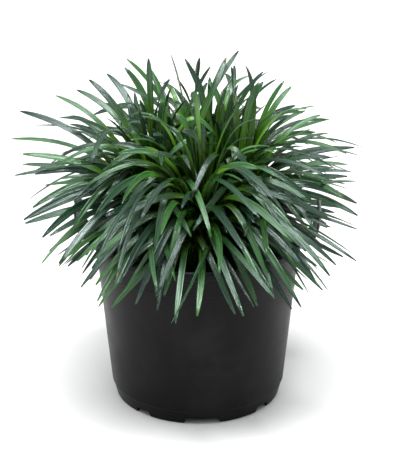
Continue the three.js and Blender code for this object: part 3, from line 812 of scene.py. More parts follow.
@dataclass
class Soil:
    """Potting mix: a packed bed that fills the pot, with loose crumbs and bark chips on top."""

    pot: Pot
    top: float = 111.0
    edge_top: float = 109.6
    gap: float = 0.3
    swell: float = 0.9
    swells: int = 30
    swell_lengths: tuple[float, float] = (3.0, 26.0)
    sunk: float = 0.6
    shoulder: float = 14.0
    seam: float = 4.0
    sides: int = 200
    rings: int = 60
    crumbs: int = 2600
    crumb_size: tuple[float, float] = (0.5, 2.3)
    crumb_corners: int = 6
    crumb_rings: tuple[tuple[float, float, float], ...] = (
        (0.0, 0.8, -0.55), (0.5, 1.0, 0.05), (0.2, 0.62, 0.6),
    )
    crumb_poles: tuple[float, float] = (0.85, -0.8)
    crumb_rise: float = 0.12
    pale_from: float = 0.955
    paleness: float = 0.75
    seed: int = 77
    finish: PottingMix = field(default_factory=PottingMix)

    def inner(self) -> float:
        """Radius of the bed at its top."""
        return self.pot.collar_radius - self.pot.wall - self.gap

    def level(self, radius: Array) -> Array:
        """Height of the bed's top without its waves, lower along the wall."""
        rise = np.clip((self.inner() - radius) / self.shoulder, 0, 1)
        return blend(self.edge_top, self.top, rise) - self.sunk

    def waves(self, places: Array) -> Array:
        """Height of the waves of the bed's top, which fade out towards the wall."""
        radius = np.hypot(places[..., 0], places[..., 1])
        inward = np.clip((self.inner() - radius) / self.seam, 0, 1)
        return self.swell * inward * rolling(places, self.seed, self.swells, *self.swell_lengths)

    def bed(self) -> bpy.types.Mesh:
        """Turned fill whose top rolls up and down by plane waves."""
        pot = self.pot
        inner = self.inner()
        low = [
            (0.0, pot.floor_top + self.gap),
            (pot.foot_top_radius - pot.wall - 1.6, pot.floor_top + self.gap),
            (pot.wall_foot_radius - pot.wall - self.gap, pot.foot_top + 2.5),
            (pot.wall_top_radius - pot.wall - self.gap, pot.collar_foot),
            (inner, pot.collar_foot + 2.4),
            (inner, self.edge_top - self.sunk),
        ]
        radii = np.linspace(inner - 0.4, 0, self.rings)
        profile = np.concatenate([np.array(low), np.stack([radii, self.level(radii)], -1)])
        points = turned_points(profile, np.linspace(0, 2 * math.pi, self.sides, endpoint=False))
        on_top = points[..., 2] > self.edge_top - 1.5
        points[..., 2] += np.where(on_top, self.waves(points), 0)
        return new_mesh("soil_bed", points, grid_faces(self.sides, len(profile), True, False))

    def surface(self, places: Array) -> Array:
        """Height of the bed's top at places (x, y)."""
        return self.level(np.hypot(places[:, 0], places[:, 1])) + self.waves(places)

    def scatter(self) -> bpy.types.Mesh:
        """Crumbs and chips: six-sided lumps, stretched, turned and sunk in the bed by seeded draws."""
        numbers = seeded_numbers(self.seed * 31, 12 * self.crumbs).reshape(12, self.crumbs)
        reach = self.pot.collar_radius - self.pot.wall - 2.4
        radius = reach * np.sqrt(numbers[0])
        bearing = 2 * math.pi * numbers[1]
        places = np.stack([radius * np.cos(bearing), radius * np.sin(bearing)], -1)
        size = blend(*self.crumb_size, numbers[2] ** 3)
        stretch = np.stack([1 + 1.4 * numbers[3] ** 2, 0.7 + 0.4 * numbers[4], 0.35 + 0.5 * numbers[5]], -1)
        corners = self.crumb_corners
        turn = np.linspace(0, 2 * math.pi, corners, endpoint=False)
        rings = [
            np.stack([np.cos(turn + lean) * wide, np.sin(turn + lean) * wide, np.full(corners, up)], -1)
            for lean, wide, up in self.crumb_rings
        ]
        lump = np.concatenate([*rings, [[0, 0, height] for height in self.crumb_poles]])
        rough = seeded_numbers(self.seed * 57, self.crumbs * len(lump)).reshape(self.crumbs, -1, 1)
        points = lump[None] * (0.7 + 0.6 * rough) * (stretch * size[:, None])[:, None, :]
        yaw, tilt = 2 * math.pi * numbers[6], 0.9 * (numbers[7] - 0.5)
        x, y, z = points[..., 0], points[..., 1], points[..., 2]
        x, z = turned_rows(x, z, tilt)
        x, y = turned_rows(x, y, yaw)
        level = self.surface(places) + size * self.crumb_rise
        points = np.stack([x + places[:, :1], y + places[:, 1:], z + level[:, None]], -1)
        ring = np.arange(corners)
        after = (ring + 1) % corners
        bases = (0, corners)
        over, under = len(lump) - 2, len(lump) - 1
        faces = [np.stack([ring + base, after + base, after + base + corners], -1) for base in bases]
        faces += [
            np.stack([ring + base, after + base + corners, ring + base + corners], -1) for base in bases
        ]
        faces += [np.stack([ring + 2 * corners, after + 2 * corners, np.full(corners, over)], -1)]
        faces += [np.stack([after, ring, np.full(corners, under)], -1)]
        one = np.concatenate(faces)
        every = (one[None] + len(lump) * np.arange(self.crumbs)[:, None, None]).reshape(-1, 3)
        mesh = new_mesh("soil_crumbs", points, every)
        tint = np.zeros((self.crumbs, len(lump), 4))
        tint[..., 0] = numbers[8][:, None]
        tint[..., 1] = np.where(numbers[9] > self.pale_from, self.paleness * numbers[10], 0)[:, None]
        add_tint(mesh, "tint", tint.reshape(-1, 4))
        return mesh

    def build(self) -> None:
        """Makes the bed and the crumbs and dresses them."""
        show(self.bed(), self.finish.bed(), "potting_soil", "soil")
        show(self.scatter(), self.finish.crumb(), "potting_soil")


# Leaves


@dataclass(frozen=True)
class Habit:
    """How leaves grow: age 0 is a young upright leaf, age 1 an old one that arches over."""

    seed: int = 12
    draws: int = 100
    chunk: int = 20
    spiral_stride: int = 17
    root_circle: float = 14.0
    azimuth_jitter: float = 110.0
    age_power: float = 0.74
    age_jitter: float = 0.1
    age_outward: float = 0.05
    outward_offset: float = 30.0
    rise_young: float = 87.0
    rise_old: float = 12.5
    rise_jitter: float = 26.0
    droop_right: float = 10.5
    droop_front: float = 8.0
    reach_young: float = 114.0
    reach_old: float = 84.0
    reach_jitter: float = 0.2
    reach_inward_loss: float = 0.2
    arch: float = 0.4
    arch_power: float = 1.3
    arch_jitter: float = 0.3
    bend: float = 0.18
    roll: float = 55.0
    width: tuple[float, float] = (4.2, 5.2)
    tip_draws: int = 60
    tip_root: tuple[float, float] = (0.4, 1.0)
    tip_arch: float = 0.55
    tip_arch_jitter: float = 0.3
    tip_heading_jitter: float = 50.0
    tip_roll: float = 0.6
    front_arch: float = 0.5


@dataclass(frozen=True)
class TuftPlan:
    """Crown centre, youngest age, spiral turn, how far leaves stand up first, leaves, share of more."""

    name: str
    x: float
    y: float
    youngest: float
    turn: float
    stand: float
    leaves: int
    extra: float


@dataclass
class Blades:
    """Blades at stations along their leaves: middle, heading, direction across and half width."""

    point: Array
    heading: Array
    across: Array
    half: Array


@dataclass
class Leaves:
    """Leaves as arrays, one row a leaf, in millimetres from the pot's axis."""

    root: Array
    tip: Array
    arch: Array
    bend: Array
    roll: Array
    width: Array
    hip: float = 0.05
    hip_climb: float = 0.36
    hip_bend: float = 0.5
    knee: float = 0.4
    knee_climb: float = 0.7
    knee_lift: float = 0.95
    upright: float = 0.05
    levels_from: float = 0.1
    levels_over: float = 0.3
    sheath: float = 0.62
    widest: float = 0.5
    tip_start: float = 0.7
    tip_cut: float = 0.96

    def some(self, rows: slice) -> "Leaves":
        """Some leaves of the batch."""
        return replace(
            self, root=self.root[rows], tip=self.tip[rows], arch=self.arch[rows],
            bend=self.bend[rows], roll=self.roll[rows], width=self.width[rows],
        )

    @staticmethod
    def joined(batches: list["Leaves"]) -> "Leaves":
        """All leaves of several batches."""
        columns = ("root", "tip", "arch", "bend", "roll", "width")
        return replace(batches[0], **{
            name: np.concatenate([getattr(batch, name) for batch in batches]) for name in columns
        })

    def half_width(self, stations: Array) -> Array:
        """Share of the half width: a narrow sheath, an even blade and a blunt tip.

        It is sheath + (1 - sheath) sin(k / widest, to a right angle), times the square root
        of 1 - cut t t, where t goes from 0 at the tip's start to 1 at its end.
        """
        blade = blend(self.sheath, 1.0, np.sin(np.clip(stations / self.widest, 0, 1) * math.pi / 2))
        tip = np.clip((stations - self.tip_start) / (1 - self.tip_start), 0, 1)
        return blade * np.sqrt(1 - self.tip_cut * tip * tip)

    def blades(self, stations: Array) -> Blades:
        """Blades at stations from 0 at the root to 1 at the tip.

        The middle line is a cubic curve. Its two inner points lie a hip's and a knee's share
        of the way out, raised by the climb and the arch and moved sideways by the bend. The
        blade lies level across where the leaf leans, and rolls steadily towards its tip.

        Args:
            stations: Places along the leaf.

        Returns:
            The blades, leaf by station.
        """
        run = (self.tip - self.root) * np.array([1.0, 1.0, 0.0])
        climb = self.tip[:, 2] - self.root[:, 2]
        level = np.hypot(run[:, 0], run[:, 1])
        reach = np.hypot(level, climb)
        side = np.stack([-run[:, 1], run[:, 0], np.zeros_like(level)], -1) / np.maximum(level, 1e-6)[:, None]
        up = np.array([0.0, 0.0, 1.0])
        lift = reach * self.arch
        first = self.root + run * self.hip + side * (self.bend * reach * self.hip_bend)[:, None]
        first = first + up * (self.hip_climb * np.maximum(climb, 0) + lift)[:, None]
        second = self.root + run * self.knee + side * (self.bend * reach)[:, None]
        second = second + up * (self.knee_climb * climb + lift * self.knee_lift)[:, None]
        a, b, c, d = (v[:, None, :] for v in (self.root, first, second, self.tip))
        k = stations[None, :, None]
        point = (1 - k) ** 3 * a + 3 * (1 - k) ** 2 * k * b + 3 * (1 - k) * k**2 * c + k**3 * d
        heading = unit((1 - k) ** 2 * (b - a) + 2 * (1 - k) * k * (c - b) + k**2 * (d - c))
        slant = np.hypot(heading[..., 0], heading[..., 1])[..., None]
        flat = np.stack([-heading[..., 1], heading[..., 0], np.zeros(slant.shape[:2])], -1)
        sideways = np.broadcast_to(side[:, None, :], flat.shape)
        flat = np.where(slant > self.upright, flat / np.maximum(slant, 1e-6), sideways)
        turn = np.clip((slant - self.levels_from) / self.levels_over, 0, 1)
        across = flat * turn + sideways * (1 - turn)
        across = unit(across - heading * (across * heading).sum(-1, keepdims=True))
        under = np.cross(across, heading)
        angle = self.roll[:, None, None] * k
        across = across * np.cos(angle) + under * np.sin(angle)
        half = self.width[:, None] / 2 * self.half_width(stations)[None, :]
        return Blades(point, heading, across, half)


@dataclass
class Space:
    """Space taken by leaves, cell by cell: the tuft near a cell, and blades in it."""

    stations: tuple[float, ...] = (0.0, 0.16, 0.33, 0.55, 0.86, 1.0)
    keel: float = 0.85
    probes: int = 160
    probe_across: tuple[float, ...] = (-1.0, -0.6, -0.2, 0.2, 0.6, 1.0)
    low: tuple[float, float, float] = (-180.0, -180.0, 60.0)
    size: tuple[int, int, int] = (360, 360, 210)
    rim_in: float = 66.0
    rim_out: float = 77.0
    rim_top: float = 123.6
    soil_top: float = 112.5
    free_length: float = 8.0
    crossing_length: float = 26.0
    ear: tuple[float, float, float, float] = (66.0, 91.0, 19.0, 153.0)
    ear_slope: float = math.tan(math.radians(3.7))
    cover_width: int = 14
    cover_above: int = 3
    cover_depth: float = 2.6
    side_light: tuple[float, float] = (62.0, 112.0)

    def __post_init__(self) -> None:
        """Starts with empty space."""
        self.near = np.zeros(self.size, np.int8)
        self.blade = np.zeros(self.size, bool)

    def probe(self, leaves: Leaves) -> tuple[Array, Array]:
        """Probe points on the faceted blades, and how far along its leaf each one is.

        Args:
            leaves: Leaves to probe.

        Returns:
            Points, leaf by place along by place across, and lengths, leaf by place along.
        """
        stations = np.array(self.stations)
        at = stations.searchsorted(np.linspace(0, 1, self.probes), side="right") - 1
        at = at.clip(0, len(stations) - 2)
        share = (np.linspace(0, 1, self.probes) - stations[at]) / (stations[at + 1] - stations[at])
        share = share[None, :, None]
        blades = leaves.blades(stations)
        edge = blades.across * blades.half[..., None]
        keel = np.cross(blades.across, blades.heading) * self.keel
        keel[:, -1] = 0
        ribs = (blades.point, edge, keel)
        point, edge, keel = (rib[:, at] * (1 - share) + rib[:, at + 1] * share for rib in ribs)
        steps = np.linalg.norm(np.diff(point, axis=1), axis=2)
        length = np.concatenate([np.zeros((len(point), 1)), steps.cumsum(axis=1)], axis=1)
        rows = [point + edge * side for side in self.probe_across]
        return np.stack([*rows, point + keel], 2), length

    def clear_of_pot(self, probes: Array, length: Array) -> Array:
        """Whether every probe of a leaf stays off the rim, the soil and the ears."""
        x, y, z = probes[..., 0], probes[..., 1], probes[..., 2]
        radius = np.hypot(x, y)
        met = (radius > self.rim_in) & (radius < self.rim_out) & (z < self.rim_top)
        met |= (radius <= self.rim_in) & (z < self.soil_top) & (length[..., None] > self.free_length)
        near, far, half, top = self.ear
        beside = np.abs(y + x * self.ear_slope) < half
        met |= (np.abs(x) > near) & (np.abs(x) < far) & beside & (z < top)
        return ~met.any(axis=(1, 2))

    def claim(self, leaves: Leaves, owner: int, allowed: Array, meets: float | None = None) -> Leaves | None:
        """Takes the cells of the first leaf that is allowed and has no other leaf in its way.

        Args:
            leaves: Leaves to try, in turn.
            owner: Number of their tuft, from 1.
            allowed: Whether each leaf may be used at all.
            meets: Share of its cells in which a leaf may meet others, of any tuft. None keeps
                it clear of all, and at a distance from those of other tufts.

        Returns:
            The leaf, or None.
        """
        probes, length = self.probe(leaves)
        cells = np.floor(probes - np.array(self.low)).astype(int)
        inside = ((cells >= 1) & (cells < np.array(self.size) - 1)).all(axis=(1, 2, 3))
        for row in np.nonzero(allowed & self.clear_of_pot(probes, length) & inside)[0]:
            cell = tuple(cells[row].reshape(-1, 3).T)
            far = np.repeat(length[row] > self.crossing_length, cells.shape[2])
            taken = self.near[cell]
            if meets is None and ((taken != 0) & (taken != owner)).any():
                continue
            if (self.blade[cell] & far).mean() > (meets or 0.0):
                continue
            self.blade[cell] = True
            for step in range(27):
                offset = (step % 3 - 1, step // 3 % 3 - 1, step // 9 - 1)
                self.near[tuple(axis + move for axis, move in zip(cell, offset))] = owner
            return leaves.some(slice(row, row + 1))
        return None

    def cover(self) -> Array:
        """Blades above each cell, as a mean over the columns round it."""
        above = self.blade[:, :, ::-1].cumsum(axis=2, dtype=np.float32)[:, :, ::-1]
        width = self.cover_width
        for axis in (0, 1):
            padding = [(0, 0)] * 3
            padding[axis] = (width // 2 + 1, width - width // 2 - 1)
            sums = np.pad(above, padding, mode="edge").cumsum(axis=axis, dtype=np.float32)
            spots = np.arange(self.size[axis])
            above = (sums.take(spots + width - 1, axis) - sums.take(spots, axis)) / (width - 1)
        return above

    def shaded(self, cover: Array, points: Array) -> Array:
        """Share of the light that leaves above keep from points.

        It is 1 - exp(-count / cover_depth), where the count is the cover a little above. It
        fades out with the radius, because light comes in there from the side.

        Args:
            cover: Blades above each cell.
            points: Points, in millimetres from the pot's axis.

        Returns:
            One share for each point, from 0 in the open.
        """
        cells = np.floor(points - np.array(self.low)).astype(int) + np.array([0, 0, self.cover_above])
        cells = cells.clip(0, np.array(self.size) - 1)
        near, far = self.side_light
        inward = np.clip((far - np.hypot(points[..., 0], points[..., 1])) / (far - near), 0, 1)
        return inward * (1 - np.exp(-cover[tuple(np.moveaxis(cells, -1, 0))] / self.cover_depth))


@dataclass
class Plant:
    """Clump of four tufts: the solids' leaves, by the same seeded rule, and more between them."""

    soil_top: float = 111.0
    spread_middle: float = -5.0
    spread: float = 122.0
    spread_depth: float = 126.0
    tallest: float = 250.0
    low_tip: float = 94.0
    low_tip_radius: float = 90.0
    low_tip_slope: float = 0.4
    habit: Habit = field(default_factory=Habit)
    space: Space = field(default_factory=Space)
    tufts: tuple[TuftPlan, ...] = (
        TuftPlan("tuft_left", -28.0, 6.5, 0.0, 0.0, 12.0, 103, 1.2),
        TuftPlan("tuft_right", 24.0, 10.0, 0.0, 1.3, 12.0, 103, 0.85),
        TuftPlan("tuft_front", 1.0, -25.5, 0.1, 2.6, 28.0, 97, 1.0),
        TuftPlan("tuft_back", 4.0, 37.0, 0.0, 3.9, 12.0, 81, 1.0),
    )
    outline_tips: tuple[tuple[int, int, int, int], ...] = (
        (0, -131, 12, 188), (0, -126, 26, 204), (0, -102, 44, 210), (0, -88, 58, 210),
        (0, -117, 30, 192), (0, -121, -12, 185), (0, -128, -6, 167), (0, -119, -34, 142),
        (0, -101, -52, 129), (2, -81, -70, 129), (2, -68, -80, 116), (0, -66, 62, 221),
        (3, -51, 52, 235), (0, -52, 40, 232), (1, -54, 22, 225), (0, -34, 14, 246),
        (3, -19, 30, 245), (1, -9, 38, 239), (0, 9, 8, 242), (0, 20, 24, 244),
        (0, 29, 34, 246), (0, 36, 16, 251), (3, 47, 50, 226), (3, 56, 34, 225),
        (1, 61, 24, 227), (1, 67, 40, 218), (1, 62, -4, 209), (1, 88, 36, 198),
        (1, 93, 22, 189), (1, 105, 0, 173), (1, 107, -12, 172), (1, 117, -24, 145),
        (1, 110, -40, 140), (1, 108, -58, 124), (2, 93, -72, 127), (2, 71, -86, 130),
        (2, 63, -86, 101), (2, 52, -90, 94), (2, 40, -92, 106), (2, 25, -96, 102),
        (2, -22, -90, 113), (2, -49, -88, 114), (2, -58, -84, 101), (2, -35, -88, 121),
    )
    front_tips: tuple[tuple[int, int, int, int], ...] = (
        (2, -53, -62, 154), (2, -50, -72, 151), (0, -62, -45, 162), (1, -27, -20, 178),
        (1, -25, -52, 168), (0, 1, -40, 174), (3, 14, -16, 170), (1, 26, -25, 178),
        (1, 33, -38, 175), (2, 38, -50, 178), (1, -4, -58, 169), (1, -3, -74, 153),
        (0, -4, -80, 151), (0, 9, -84, 152), (1, 31, -80, 151), (1, 78, -50, 139),
        (1, 80, -30, 147), (2, 63, -72, 139), (2, 46, -90, 126), (2, -28, -82, 141),
        (2, -20, -92, 125), (0, -73, -62, 112), (0, -79, -52, 112), (0, 13, -4, 195),
        (1, 71, -20, 170),
    )
    more_leaves: int = 130
    young_leaves: int = 27
    under_leaves: int = 80
    dead_leaves: int = 1
    fill_turn: float = 0.7
    under_youngest: float = 0.25
    meets: float = 0.03
    window: tuple[float, float, float, float] = (-14.0, 36.0, -45.0, 152.0)
    # Bright heart: pale young leaf bases, with painted light shining through the leaves there.
    heart_near: float = 15.0
    heart_far: float = 60.0
    heart_up: tuple[float, float] = (0.4, 0.9)
    scorched_from: float = 0.88
    tint_seed: int = 300
    widen: float = 0.99
    fine_tip: float = 0.78
    facing: float = 28.0
    root_depth: float = 2.5
    root_share: float = 0.03
    thin_tip: float = 0.12
    stations: int = 22
    station_power: float = 0.92
    last_station: float = 0.998
    channel: float = 0.5
    keel: float = 0.8
    edge: float = 0.14
    finish: LeafSkin = field(default_factory=LeafSkin)

    def drawn(self, tuft: TuftPlan, habit: Habit, k: int, seed: int) -> Leaves:
        """Draws of leaf k of a tuft, from the young middle out along the crown's spiral.

        Args:
            tuft: The tuft that the leaf belongs to.
            habit: How the leaf grows.
            k: Its place along the spiral.
            seed: Seed of its draws.

        Returns:
            All its draws, one row each.
        """
        numbers = 2 * seeded_numbers(seed, 8 * habit.draws).reshape(-1, 8).T - 1
        part = (k + 0.5) / tuft.leaves
        turn = k * GOLDEN_TURN + tuft.turn
        azimuth = turn + np.radians(habit.azimuth_jitter) * numbers[0]
        bearing = math.atan2(tuft.x, -tuft.y)
        offset = min(1.0, math.hypot(tuft.x, tuft.y) / habit.outward_offset)
        outward = np.cos(azimuth - bearing) * offset
        rank = blend(tuft.youngest, 1.0, part**habit.age_power)
        age = np.clip(rank + habit.age_outward * outward + habit.age_jitter * numbers[1], 0, 1)
        right, front = np.sin(azimuth), np.cos(azimuth)
        rise = blend(habit.rise_young, habit.rise_old, age) + habit.rise_jitter * numbers[2]
        rise = rise - habit.droop_right * right * age - habit.droop_front * np.maximum(0, front) * age
        rise = np.radians(rise)
        reach = blend(habit.reach_young, habit.reach_old, age) * (1 + habit.reach_jitter * numbers[3])
        reach = reach * (1 - habit.reach_inward_loss * np.maximum(0, -outward))
        arch = np.maximum(0, habit.arch * age**habit.arch_power + habit.arch_jitter * numbers[4] * age)
        arch = arch + tuft.stand / np.maximum(reach, 1)
        start = habit.root_circle * math.sqrt(part)
        root = np.array([tuft.x + start * math.sin(turn), tuft.y - start * math.cos(turn), self.soil_top])
        root = np.broadcast_to(root, (habit.draws, 3))
        level = reach * np.cos(rise)
        tip = root + np.stack([level * right, -level * front, reach * np.sin(rise)], -1)
        width = blend(*habit.width, (numbers[7] + 1) / 2)
        return Leaves(root, tip, arch, habit.bend * numbers[5], np.radians(habit.roll) * numbers[6], width)

    def to_tip(self, tuft: TuftPlan, tip: tuple[int, ...], own_arch: float | None, seed: int) -> Leaves:
        """Leaves of a tuft that end at a given tip: the plainest one, then drawn variations.

        Args:
            tuft: The tuft that the leaf belongs to.
            tip: Where the leaf ends.
            own_arch: Its arch, or None for the arch that its age gives.
            seed: Seed of the variations.

        Returns:
            All its draws, one row each.
        """
        habit = self.habit
        x, y, z = tip
        drawn = seeded_numbers(seed, 5 * habit.tip_draws).reshape(-1, 5).T
        numbers = (2 * drawn - 1) * (np.arange(habit.tip_draws) > 0)
        rise = math.degrees(math.atan2(z - self.soil_top, math.hypot(x - tuft.x, y - tuft.y)))
        age = min(1.0, max(0.0, (habit.rise_young - rise) / (habit.rise_young - habit.rise_old)))
        azimuth = math.atan2(x - tuft.x, tuft.y - y)
        azimuth = azimuth + np.radians(habit.tip_heading_jitter) * numbers[0]
        arch = habit.tip_arch * habit.arch * age**habit.arch_power if own_arch is None else own_arch
        arch = arch * (1 + habit.tip_arch_jitter * numbers[1])
        start = habit.root_circle * blend(*habit.tip_root, age)
        level = np.full(habit.tip_draws, self.soil_top)
        root = np.stack([tuft.x + start * np.sin(azimuth), tuft.y - start * np.cos(azimuth), level], -1)
        ends = np.broadcast_to(np.array(tip, float), root.shape)
        arch = arch + tuft.stand / np.linalg.norm(ends - root, axis=1)
        roll = np.radians(habit.roll * habit.tip_roll) * numbers[3]
        return Leaves(root, ends, arch, habit.bend * numbers[2], roll, blend(*habit.width, drawn[4]))

    def inside_spread(self, leaves: Leaves) -> Array:
        """Whether each leaf ends inside the spread, below the top and above the lowest tips."""
        tip = leaves.tip
        beyond = np.maximum(0, np.hypot(tip[:, 0], tip[:, 1]) - self.low_tip_radius)
        high_enough = tip[:, 2] >= self.low_tip + self.low_tip_slope * beyond
        within = np.abs(tip[:, 0] - self.spread_middle) <= self.spread
        within &= np.abs(tip[:, 1]) <= self.spread_depth
        return within & (tip[:, 2] <= self.tallest) & high_enough

    def off_window(self, leaves: Leaves) -> Array:
        """Whether each leaf leaves the gap at the front open, where the rim and the soil show."""
        left, right, front, top = self.window
        tip = leaves.tip
        return ~((tip[:, 0] > left) & (tip[:, 0] < right) & (tip[:, 1] < front) & (tip[:, 2] < top))

    def placed(self, draws: Leaves, allowed: Array, owner: int, meets: float | None = None) -> list[Leaves]:
        """The first draw that finds room, in a list, or an empty list."""
        for start in range(0, len(draws.width), self.habit.chunk):
            rows = slice(start, start + self.habit.chunk)
            found = self.space.claim(draws.some(rows), owner, allowed[rows], meets)
            if found is not None:
                return [found]
        return []

    def seed_of(self, habit: Habit, owner: int, k: int) -> int:
        """Seed of the draws of leaf k of a tuft, counted from 0."""
        return habit.seed * SEED_STEP + owner * TUFT_STEP + k * LEAF_STEP

    def grow(self) -> list[list[Leaves]]:
        """Main leaves of every tuft: those with a given tip first, then drawn ones in turn."""
        grown = [[] for _ in self.tufts]
        given = [(tip, None) for tip in self.outline_tips]
        given += [(tip, self.habit.front_arch) for tip in self.front_tips]
        for k, ((owner, *tip), arch) in enumerate(given):
            draws = self.to_tip(self.tufts[owner], tip, arch, self.seed_of(self.habit, len(self.tufts), k))
            grown[owner] += self.placed(draws, np.ones(len(draws.width), bool), owner + 1)
        for step in range(max(tuft.leaves for tuft in self.tufts)):
            for owner, tuft in enumerate(self.tufts):
                if step < tuft.leaves:
                    k = (step * self.habit.spiral_stride) % tuft.leaves
                    draws = self.drawn(tuft, self.habit, k, self.seed_of(self.habit, owner, k))
                    grown[owner] += self.placed(draws, self.inside_spread(draws), owner + 1)
        return grown

    def fill(self, habit: Habit, count: int, youngest: float) -> list[list[Leaves]]:
        """More leaves of every tuft, which find their room between those that stand already."""
        grown = [[] for _ in self.tufts]
        counts = [round(count * tuft.extra) for tuft in self.tufts]
        for k in range(max(counts)):
            for owner, tuft in enumerate(self.tufts):
                if k < counts[owner]:
                    turn = tuft.turn + self.fill_turn
                    plan = replace(tuft, leaves=counts[owner], turn=turn, youngest=youngest)
                    draws = self.drawn(plan, habit, k, self.seed_of(habit, owner, k))
                    allowed = self.inside_spread(draws) & self.off_window(draws)
                    grown[owner] += self.placed(draws, allowed, owner + 1, self.meets)
        return grown

    def section(self) -> tuple[Array, Array, Array]:
        """Section of a blade, once round: place across, height as a share, and whether below."""
        top = np.array([-1.0, -0.7, -0.35, 0.0, 0.35, 0.7, 1.0])
        under = np.array([0.6, 0.0, -0.6])
        across = np.concatenate([top, under])
        height = np.concatenate([
            -self.channel * (1 - np.abs(top)),
            -self.edge - self.keel * (1 - np.abs(under)),
        ])
        below = np.concatenate([np.zeros_like(top), np.ones_like(under)])
        return across, height, below

    def surface(self, leaves: Leaves) -> tuple[Array, Array]:
        """Fine blades: the section carried along each leaf.

        A point is the middle line plus the place across times the half width, plus the
        height times the upward normal. The section thins out to nothing at the tip.

        Args:
            leaves: Leaves of one tuft.

        Returns:
            Points, leaf by station by place round the section, and the stations.
        """
        stations = np.linspace(0, 1, self.stations) ** self.station_power
        stations[-1] = self.last_station
        run = leaves.tip - leaves.root
        sideways = run[:, 0] / np.maximum(np.hypot(run[:, 0], run[:, 1]), 1e-6)
        roll = leaves.roll - math.radians(self.facing) * sideways
        turned = replace(leaves, tip_start=self.fine_tip, roll=roll)
        blades = turned.blades(stations)
        across, height, _ = self.section()
        up = np.cross(blades.heading, blades.across)
        thin = np.sqrt(np.clip((1 - stations) / self.thin_tip, 0.04, 1))
        wide = blades.half * self.widen
        points = blades.point[:, :, None, :]
        points = points + blades.across[:, :, None, :] * (wide[..., None] * across)[..., None]
        points = points + up[:, :, None, :] * (thin[:, None] * height)[None, :, :, None]
        sunk = np.clip(1 - stations / self.root_share, 0, 1) * self.root_depth
        points[..., 2] -= sunk[None, :, None]
        return points, stations

    def mesh(self, tuft: TuftPlan, layers: dict[Layer, Leaves], cover: Array, seed: int) -> bpy.types.Mesh:
        """Mesh of all leaves of a tuft, with UV and growth attributes on its points.

        Args:
            tuft: The tuft.
            layers: Its leaves by layer.
            cover: Blades above each cell of space.
            seed: Seed of the leaves' tints.

        Returns:
            The mesh.
        """
        leaves = Leaves.joined(list(layers.values()))
        points, stations = self.surface(leaves)
        count, rows, around = points.shape[:3]
        across, _, below = self.section()
        one = grid_faces(rows, around, False, True)
        faces = (one[None] + rows * around * np.arange(count)[:, None, None]).reshape(-1, 4)
        ring = np.arange(around)
        half = around // 2
        cap = np.stack([ring[:half - 1] + 1, ring[:half - 1], ring[::-1][:half - 1], ring[::-1][1:half]], -1)
        ends = np.concatenate([cap[:, ::-1], cap + (rows - 1) * around])
        ends = (ends[None] + rows * around * np.arange(count)[:, None, None]).reshape(-1, 4)
        mesh = new_mesh(tuft.name + "_leaves", points, np.concatenate([faces, ends])[:, ::-1])
        shape = (count, rows, around)
        uv = np.stack([
            np.broadcast_to(stations[None, :, None], shape),
            np.broadcast_to(across / 2 + 0.5, shape),
        ], -1)
        add_uv(mesh, "blade", uv.reshape(-1, 2))
        add_tint(mesh, "growth", self.growth(tuft, points, stations, layers, seed))
        # below marks the underside; shaded is the painted shade from the leaves above.
        own = {"below": np.broadcast_to(below, shape), "shaded": self.space.shaded(cover, points)}
        for name, values in own.items():
            attribute = mesh.attributes.new(name, "FLOAT", "POINT")
            attribute.data.foreach_set("value", values.astype(np.float32).ravel())
        return mesh

    def growth(
        self, tuft: TuftPlan, points: Array, stations: Array, layers: dict[Layer, Leaves], seed: int,
    ) -> Array:
        """Four numbers for each point: bright heart (young leaf bases and painted light shining through
        them), tone, scorched tip and deadness.

        The heart is 1 near the tuft's axis and falls to 0 by a smooth step outwards, and
        again by a smooth step from the middle of the leaf towards its tip. The others are
        the same all over a leaf.

        Args:
            tuft: The tuft.
            points: Points, leaf by station by place round the section.
            stations: Places along a leaf.
            layers: Its leaves by layer.
            seed: Seed of the tints.

        Returns:
            The numbers, one row for each point.
        """
        count = len(points)
        numbers = seeded_numbers(seed, 3 * count).reshape(3, count)
        out = np.hypot(points[..., 0] - tuft.x, points[..., 1] - tuft.y)
        near = np.clip((self.heart_far - out) / (self.heart_far - self.heart_near), 0, 1)
        bright, plain = self.heart_up
        low = np.clip((plain - stations) / (plain - bright), 0, 1)[None, :, None]
        heart = near**2 * (3 - 2 * near) * low**2 * (3 - 2 * low)
        dead = np.concatenate([
            np.full(len(batch.width), float(layer is Layer.DEAD)) for layer, batch in layers.items()
        ])
        burn = (numbers[1] > self.scorched_from) * blend(0.5, 1.0, numbers[2])
        leaf = [np.broadcast_to(value[:, None, None], heart.shape) for value in (numbers[0], burn, dead)]
        return np.stack([heart, *leaf], -1).reshape(-1, 4)

